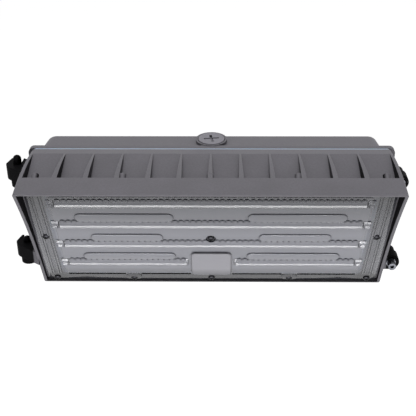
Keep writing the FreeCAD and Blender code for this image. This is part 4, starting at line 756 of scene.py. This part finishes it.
@dataclass
class LensOptics:
    """The moulded lens: a plate with serrated bars, blocks, pads, borders and a frosted box."""

    slope: Slope
    face: float = field(init=False)  # depth of the plate's front face
    plate: float = 3.0 * MM
    plate_round: Rounding = Rounding(*mm(4.0, 0.5))
    foot: float = 0.6 * MM  # how deep raised forms reach into the plate
    clear: float = 1.0 * MM  # how far cutters stand out of the plate
    smooth_deg: float = 30.0
    led_pitch: float = 5.7 * MM
    led_half: float = 142.5 * MM  # outermost LED
    gap_half: float = 31.35 * MM  # innermost LED of the split row
    # profiles down the slope, in millimetres: place from the row, height on the plate
    bar_profile: tuple[tuple[float, float], ...] = (
        (-6.0, -0.6), (-6.0, 0.3), (-5.7, 0.6), (-4.7, 1.8), (-0.6, 2.3), (0.3, 2.78), (1.2, 3.38),
        (1.8, 3.55), (2.4, 3.4), (3.0, 2.2), (3.4, 1.1), (4.3, 0.9), (5.5, 1.62), (5.9, 1.6),
        (6.4, 0.6), (6.4, -0.6))
    block_profile: tuple[tuple[float, float], ...] = (
        (-5.6, -0.6), (-5.6, 0.7), (-3.4, 2.05), (4.4, 2.2), (5.6, 1.0), (5.6, -0.6))
    block_step_profile: tuple[tuple[float, float], ...] = (
        (-0.8, 1.2), (-0.8, 2.3), (1.4, 3.65), (3.2, 3.65), (3.9, 1.2))
    serrated_to: float = -5.0 * MM  # the part of the bar's profile that the serrations move
    scallop: float = 1.7 * MM  # how far each serration stands out, up the slope
    scallop_rise: float = 0.65  # how much higher it is there, against that
    slices: int = 4  # steps in one serration
    channel_half: float = 3.0 * MM
    channel_depth: float = 2.4 * MM
    channel_end: float = 1.6 * MM  # how far a channel runs past its last LED
    channel_round: Rounding = Rounding(*mm(1.0, 0.8))
    block_reach: float = 153.4 * MM
    block_length: float = 6.6 * MM
    block_step: float = 1.2 * MM  # how far the block's upper form is set in at its ends
    split_reach: float = 24.0 * MM
    split_share: float = 0.8  # length of the blocks at the split, against that of the others
    pad_height: float = 1.8 * MM
    pad_halves: tuple[float, ...] = mm(6.25, 5.7, 5.7)
    pad_inner: tuple[float, ...] = mm(35.5, 47.3, 36.0)
    pad_outer: tuple[float, ...] = mm(130.0, 118.0, 129.6)
    pad_share: float = 0.62  # how far down a pad lies from one row to the next
    pad_shift: float = 1.2 * MM  # and how much further down than that
    pad_flat: float = 0.6 * MM  # how much less than its half width its corners' radius is
    pad_rim: float = 1.1 * MM
    pad_rim_steps: int = 3
    panel_half: float = 150.6 * MM
    panel_form: Raised = Raised(*mm(-10.5, 127.6, 0.5), Rounding(*mm(3.0, 0.5)))
    window_half: float = 20.4 * MM
    window_form: Raised = Raised(*mm(84.4, 126.2, 2.8), Rounding(*mm(4.5, 1.6), 4))
    window_wall: float = 1.3 * MM
    hollow_round: Rounding = Rounding(*mm(2.5, 0.5))
    groove_gap: float = 1.0 * MM  # between the window and the line along the panel's lower edge
    groove_half: float = 150.0 * MM
    groove_top: float = 125.4 * MM
    groove_bottom: float = 128.6 * MM
    groove_depth: float = 1.9 * MM
    groove_round: Rounding = Rounding(0.9 * MM)
    boss_half: float = 8.0 * MM  # raised round the two lower screws beside the window
    boss_form: Raised = Raised(*mm(126.6, 137.8, 0.9), Rounding(*mm(5.0, 0.4)))
    ridge_places: tuple[float, ...] = mm(157.6, 160.2, 165.2, 167.6)
    ridge_half: float = 0.7 * MM
    ridge_height: float = 0.8 * MM
    ridge_ends: tuple[float, ...] = mm(9.0, 12.0)  # how far it stops short, top and bottom
    ridge_round: Rounding = Rounding(*mm(0.4, 0.35))
    screw_hole: float = 2.25 * MM
    screw_pitch: float = 81.5 * MM
    screw_columns: tuple[int, ...] = (-2, -1, 0, 1, 2)
    screw_rows: tuple[float, ...] = mm(-17.0, 135.0)
    side_screw: tuple[float, ...] = mm(162.7, 56.6)
    middle_screw: float = 59.0 * MM
    dish: float = 5.0 * MM  # a shallow dish at the middle screw
    dish_depth: float = 0.8 * MM
    dish_sides: int = 36

    def __post_init__(self) -> None:
        """Finds the plate's front face."""
        self.face = self.slope.box("lens")[1].z - self.plate

    def body(self) -> Piece:
        """The plain plate with rounded corners."""
        low, high = self.slope.box("lens")
        low.z = self.face
        return rounded_box("lens", low, high, self.plate_round)

    def raised(self, name: str, left: float, right: float, form: Raised) -> Piece:
        """A rounded form that stands on the plate, between a left and a right side."""
        low = Vector((left, form.top, self.face - form.height))
        high = Vector((right, form.bottom, self.face + self.foot))
        return rounded_box(name, low, high, form.rounding)

    def outline(self, profile: Sequence[tuple[float, float]], x: float, along: float) -> list[Vector]:
        """The corners of a row's profile at one place across the lens."""
        return [Vector((x, along + y * MM, self.face - height * MM)) for y, height in profile]

    def bar(self, name: str, first: float, count: int, along: float) -> Piece:
        """One serrated bar.

        Args:
            name: the piece's name.
            first: centre of its first LED.
            count: how many LEDs it covers.
            along: its row's place down the slope.

        Returns:
            The closed bar.
        """
        x = first - self.led_pitch / 2
        top = along + self.serrated_to
        piece = draw_face(name, self.outline(self.bar_profile, x, along))
        step = self.led_pitch / self.slices
        out = [self.scallop * math.sin(math.pi * i / self.slices) for i in range(self.slices + 1)]
        for i in range(self.slices):
            push(step, 0, 0)
            here = x + (i + 1) * step
            change = out[i + 1] - out[i]
            pick(piece, lambda p: abs(p.x - here) < NEAR and p.y < top)
            shift(0, -change, 0)
            pick(piece, lambda p: abs(p.x - here) < NEAR and p.y < top and p.z < self.face)
            shift(0, 0, -change * self.scallop_rise)
            pick(piece, lambda p: abs(p.x - here) < NEAR)
        for end in (x, x + self.led_pitch):
            pick(piece, lambda p: abs(p.x - end) < NEAR)
            bpy.ops.mesh.delete(type="ONLY_FACE")
        bpy.ops.object.mode_set(mode="OBJECT")
        repeat = piece.modifiers.new("repeat", "ARRAY")
        repeat.count = count
        repeat.use_relative_offset = False
        repeat.use_constant_offset = True
        repeat.constant_offset_displace = (self.led_pitch, 0, 0)
        repeat.use_merge_vertices = True
        repeat.merge_threshold = NEAR
        bpy.ops.object.modifier_apply(modifier=repeat.name)
        open_up()
        bpy.ops.mesh.fill_holes(sides=0)
        return close_up(piece)

    def bar_stretches(self, index: int) -> list[tuple[float, int]]:
        """First LED and number of LEDs of each bar of a row."""
        whole = round(2 * self.led_half / self.led_pitch) + 1
        if index < len(self.slope.rows) - 1:
            return [(-self.led_half, whole)]
        part = round((self.led_half - self.gap_half) / self.led_pitch) + 1
        return [(-self.led_half, part), (self.led_half - (part - 1) * self.led_pitch, part)]

    def blocks(self, index: int, along: float) -> list[Piece]:
        """The small stepped blocks beyond the ends of a row."""
        spans = [(-self.block_reach, -self.block_reach + self.block_length),
                 (self.block_reach - self.block_length, self.block_reach)]
        if index == len(self.slope.rows) - 1:
            inner = self.split_reach + self.block_length * self.split_share
            spans += [(-inner, -self.split_reach), (self.split_reach, inner)]
        parts = ((self.block_profile, 0.0), (self.block_step_profile, self.block_step))
        made = []
        for i, (left, right) in enumerate(spans):
            for part, (profile, inset) in enumerate(parts):
                corners = self.outline(profile, left + inset, along)
                piece = draw_face(f"block_{index}_{i}_{part}", corners)
                push(right - left - 2 * inset, 0, 0)
                made.append(close_up(piece))
        return made

    def pads(self, gap: int) -> list[Piece]:
        """The two round-ended pads between two rows."""
        middle = (gap + self.pad_share) * self.slope.rows[1] + self.pad_shift
        half = self.pad_halves[gap]
        form = Raised(middle - half, middle + half, self.pad_height,
                      Rounding(half - self.pad_flat, self.pad_rim, self.pad_rim_steps))
        made = []
        for side in (-1, 1):
            left, right = sorted((side * self.pad_inner[gap], side * self.pad_outer[gap]))
            made.append(self.raised(f"pad_{gap}_{side}", left, right, form))
        return made

    def panel(self) -> Piece:
        """The slightly raised field that carries the rows."""
        return self.raised("panel", -self.panel_half, self.panel_half, self.panel_form)

    def bosses(self) -> list[Piece]:
        """The raised rounds at the two lower screws beside the window."""
        return [self.raised(f"boss_{side}", side * self.screw_pitch - self.boss_half,
                            side * self.screw_pitch + self.boss_half, self.boss_form)
                for side in (-1, 1)]

    def grooves(self) -> list[Piece]:
        """Cutters for the line along the panel's lower edge, which stops at bosses and window."""
        stops = ((self.window_half + self.groove_gap, self.screw_pitch - self.boss_half),
                 (self.screw_pitch + self.boss_half, self.groove_half))
        made = []
        for side in (-1, 1):
            for i, stop in enumerate(stops):
                left, right = sorted(side * x for x in stop)
                low = Vector((left, self.groove_top, self.face - 2 * self.clear))
                high = Vector((right, self.groove_bottom, self.face + self.groove_depth))
                made.append(rounded_box(f"groove_{side}_{i}", low, high, self.groove_round))
        return made

    def ridges(self) -> list[Piece]:
        """The fluted borders beside the rows."""
        low, high = self.slope.box("lens")
        above, below = self.ridge_ends
        form = Raised(low.y + above, high.y - below, self.ridge_height, self.ridge_round)
        return [self.raised(f"ridge_{side}_{place:.3f}", side * place - self.ridge_half,
                            side * place + self.ridge_half, form)
                for place in self.ridge_places for side in (-1, 1)]

    def window(self) -> Piece:
        """The frosted box over the wire connector."""
        piece = self.raised("window", -self.window_half, self.window_half, self.window_form)
        FROSTED_LENS.dress(piece)
        return piece

    def screw_places(self) -> list[tuple[float, float]]:
        """Places of the lens's screws."""
        rows = [(i * self.screw_pitch, along) for along in self.screw_rows for i in self.screw_columns]
        side_x, side_y = self.side_screw
        return rows + [(-side_x, side_y), (side_x, side_y), (0.0, self.middle_screw)]

    def cutters(self) -> list[Piece]:
        """Solids for the line, the channels behind the bars, the box's hollow, the dish and holes."""
        rear = self.face + self.plate
        made = self.grooves()
        for index, along in enumerate(self.slope.rows):
            for i, (first, count) in enumerate(self.bar_stretches(index)):
                last = first + (count - 1) * self.led_pitch
                low = Vector((first - self.channel_end, along - self.channel_half,
                              rear - self.channel_depth))
                high = Vector((last + self.channel_end, along + self.channel_half, rear + self.clear))
                made.append(rounded_box(f"channel_{index}_{i}", low, high, self.channel_round))
        wall, box = self.window_wall, self.window_form
        low = Vector((-self.window_half + wall, box.top + wall, self.face - box.height + wall))
        high = Vector((self.window_half - wall, box.bottom - wall, rear + self.clear))
        made.append(rounded_box("window_hollow", low, high, self.hollow_round))
        start = Vector((0.0, self.middle_screw, self.face - 3 * self.clear))
        made.append(round_bar("dish", self.dish, start, 3 * self.clear + self.dish_depth,
                              self.dish_sides))
        for i, (x, y) in enumerate(self.screw_places()):
            start = Vector((x, y, self.face - self.clear))
            made.append(round_bar(f"hole_{i}", self.screw_hole, start, self.plate + 2 * self.clear))
        return made

    def build(self) -> Piece:
        """Models the lens in one piece and sets it in place of the construction's lens.

        Returns:
            The finished lens.
        """
        body = self.body()
        CLEAR_LENS.dress(body)
        raised = [self.panel(), *self.ridges(), *self.bosses()]
        for index, along in enumerate(self.slope.rows):
            raised += self.blocks(index, along)
            for i, (first, count) in enumerate(self.bar_stretches(index)):
                raised.append(self.bar(f"bar_{index}_{i}", first, count, along))
        for gap in range(len(self.slope.rows) - 1):
            raised += self.pads(gap)
        for piece in raised:
            CLEAR_LENS.dress(piece)
        raised.append(self.window())
        combine(body, join("raised", raised), "UNION")
        cutters = join("cutters", self.cutters())
        CLEAR_LENS.dress(cutters)
        combine(body, cutters, "DIFFERENCE")
        self.slope.settle(body)
        smooth(body, self.smooth_deg)
        piece = name_piece("moulded_lens")
        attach(piece, "door")
        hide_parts("lens")
        LOG.info("moulded_lens: %d faces", len(piece.data.polygons))
        return piece


# ---- the construction's own nodes ----

@dataclass
class DressedNodes:
    """A sub-assembly whose shapes come from the construction and whose finishes are set here."""

    title: str
    finishes: dict[str, Finish]

    def build(self) -> None:
        """Dresses each node in its finish."""
        for node, finish in self.finishes.items():
            finish.dress(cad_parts[node])
            LOG.info("%s: %s in %s", self.title, node, finish.name)


def dressed_assemblies() -> list[DressedNodes]:
    """The sub-assemblies that keep their construction shapes."""
    return [
        DressedNodes("back box", {
            "back_box": CASTING, "conduit_plug": PLUG_COAT, "hinge_posts": CASTING,
            "door_gasket": SILICONE, "wall_gasket": FOAM, "entry_grommet": BLACK_RUBBER,
            "ground_screw": GREEN_ZINC,
        }),
        DressedNodes("door", {
            "door_housing": CASTING, "lens_gasket": SILICONE, "lens_edge_screws": DARK_STEEL,
            "lens_middle_screw": DARK_STEEL,
        }),
        DressedNodes("light board", {
            "led_board": BOARD_MASK, **dict.fromkeys(LED_ROWS, LED_PHOSPHOR), "board_screws": ZINC,
            "wire_connector": WHITE_NYLON, "plate_grommet": BLACK_RUBBER,
        }),
        DressedNodes("driver bay", {
            "driver_case": DRIVER_ALUMINIUM, "driver_end_caps": BLACK_NYLON, "driver_screws": ZINC,
            "output_leads": RED_PVC, "lead_clip": BLACK_NYLON, "line_lead": BLACK_PVC,
            "neutral_lead": WHITE_PVC, "ground_lead": GREEN_PVC, "wire_nuts": ORANGE_NUT,
            "wire_nut_clip": BLACK_NYLON,
        }),
        DressedNodes("captive screws", {
            "captive_screw_upper": STAINLESS, "captive_screw_lower": STAINLESS,
            "screw_retainer_upper": BLACK_NYLON, "screw_retainer_lower": BLACK_NYLON,
        }),
    ]


# ---- studio ----

@dataclass(frozen=True)
class SoftLamp:
    """A soft box that points at the light."""

    name: str
    place: tuple[float, float, float]
    width: float
    height: float
    power: float


def seen(tree: Tree) -> Socket:
    """One for rays from the camera, or sent on by glossy or clear pieces, and zero for others."""
    path = add_node(tree, "ShaderNodeLightPath").outputs
    first = maths(tree, "MAXIMUM", path["Is Camera Ray"], path["Is Glossy Ray"])
    return maths(tree, "MAXIMUM", first, path["Is Transmission Ray"])


@dataclass
class Studio:
    """Floor, light and camera, set as for the photograph."""

    floor_z: float = -1.5
    floor_size: float = 14.0
    floor_colour: str = "#fbfbfb"
    floor_dark: str = "#5a5a5a"  # what the light bounces off, so that undersides stay dark
    floor_roughness: float = 0.9
    ambient: float = 0.06
    glow: float = 0.93  # the floor's own white, so that it holds only a faint shadow
    lamps: tuple[SoftLamp, ...] = (
        SoftLamp("overhead", (0.0, -0.45, 1.66), 0.8, 0.8, 17.4),
        SoftLamp("front_fill", (0.0, -1.7, -0.8), 1.5, 0.6, 25.0),
    )
    place: tuple[float, float, float] = (0.0115, -0.8208, 0.4586)  # the camera's
    pitch_deg: float = 30.0
    yaw_deg: float = -1.10
    roll_deg: float = 0.426
    focal_px: float = 879.1
    image_px: float = 416.0
    sensor_mm: float = 36.0
    clip_start: float = 0.01

    def floor(self) -> None:
        """A wide pale floor that keeps the light's shadow."""
        clear_selection()
        bpy.ops.mesh.primitive_plane_add(size=self.floor_size, location=(0, 0, self.floor_z))
        piece = name_piece("floor")
        paint = bpy.data.materials.new("pale_floor")
        paint.use_nodes = True
        tree = paint.node_tree
        shader = tree.nodes["Principled BSDF"]
        shader.inputs["Roughness"].default_value = self.floor_roughness
        shader.inputs["Specular IOR Level"].default_value = 0.0
        shader.inputs["Emission Color"].default_value = WHITE
        tint = blended(tree, seen(tree), self.floor_dark, self.floor_colour)
        lift = maths(tree, "MULTIPLY", seen(tree), self.glow)
        tree.links.new(tint, shader.inputs["Base Color"])
        tree.links.new(lift, shader.inputs["Emission Strength"])
        piece.data.materials.append(paint)

    def lights(self) -> None:
        """The soft lamps and an even, dim surround."""
        for soft in self.lamps:
            lamp = bpy.data.lights.new(soft.name, "AREA")
            lamp.shape = "RECTANGLE"
            lamp.size = soft.width
            lamp.size_y = soft.height
            lamp.energy = soft.power
            holder = bpy.data.objects.new(soft.name, lamp)
            holder.location = soft.place
            holder.rotation_euler = (-Vector(soft.place)).to_track_quat("-Z", "Y").to_euler()
            bpy.context.scene.collection.objects.link(holder)
        world = bpy.data.worlds.new("surround")
        bpy.context.scene.world = world
        world.use_nodes = True
        tree = world.node_tree
        dim = (self.ambient, self.ambient, self.ambient, 1.0)
        tint = add_node(tree, "ShaderNodeMix", {"data_type": "RGBA", 6: dim, 7: WHITE}, {0: seen(tree)})
        tree.links.new(tint.outputs[2], tree.nodes["Background"].inputs["Color"])

    def camera(self) -> None:
        """The camera at the photograph's viewing angle."""
        pitch, yaw, roll = (math.radians(a) for a in (self.pitch_deg, self.yaw_deg, self.roll_deg))
        ahead = Vector((math.sin(yaw) * math.cos(pitch), math.cos(yaw) * math.cos(pitch),
                        -math.sin(pitch)))
        level = ahead.cross(Vector((0, 0, 1))).normalized()
        below = ahead.cross(level)
        right = level * math.cos(roll) + below * math.sin(roll)
        up = level * math.sin(roll) - below * math.cos(roll)
        lens = bpy.data.cameras.new("camera")
        lens.sensor_width = self.sensor_mm
        lens.lens = self.sensor_mm * self.focal_px / self.image_px
        lens.clip_start = self.clip_start
        holder = bpy.data.objects.new("camera", lens)
        turn = Matrix((right, up, -ahead)).transposed().to_4x4()
        holder.matrix_world = Matrix.Translation(self.place) @ turn
        bpy.context.scene.collection.objects.link(holder)
        bpy.context.scene.camera = holder

    def build(self) -> None:
        """Sets the whole studio."""
        self.floor()
        self.lights()
        self.camera()
        bpy.context.scene.view_settings.view_transform = "Standard"


def main() -> None:
    """Builds the studio and every piece of the light."""
    logging.basicConfig(level=logging.INFO, format="%(message)s")
    Studio().build()
    for assembly in dressed_assemblies():
        assembly.build()
    LensOptics(Slope()).build()


if __name__ == "__main__":
    main()
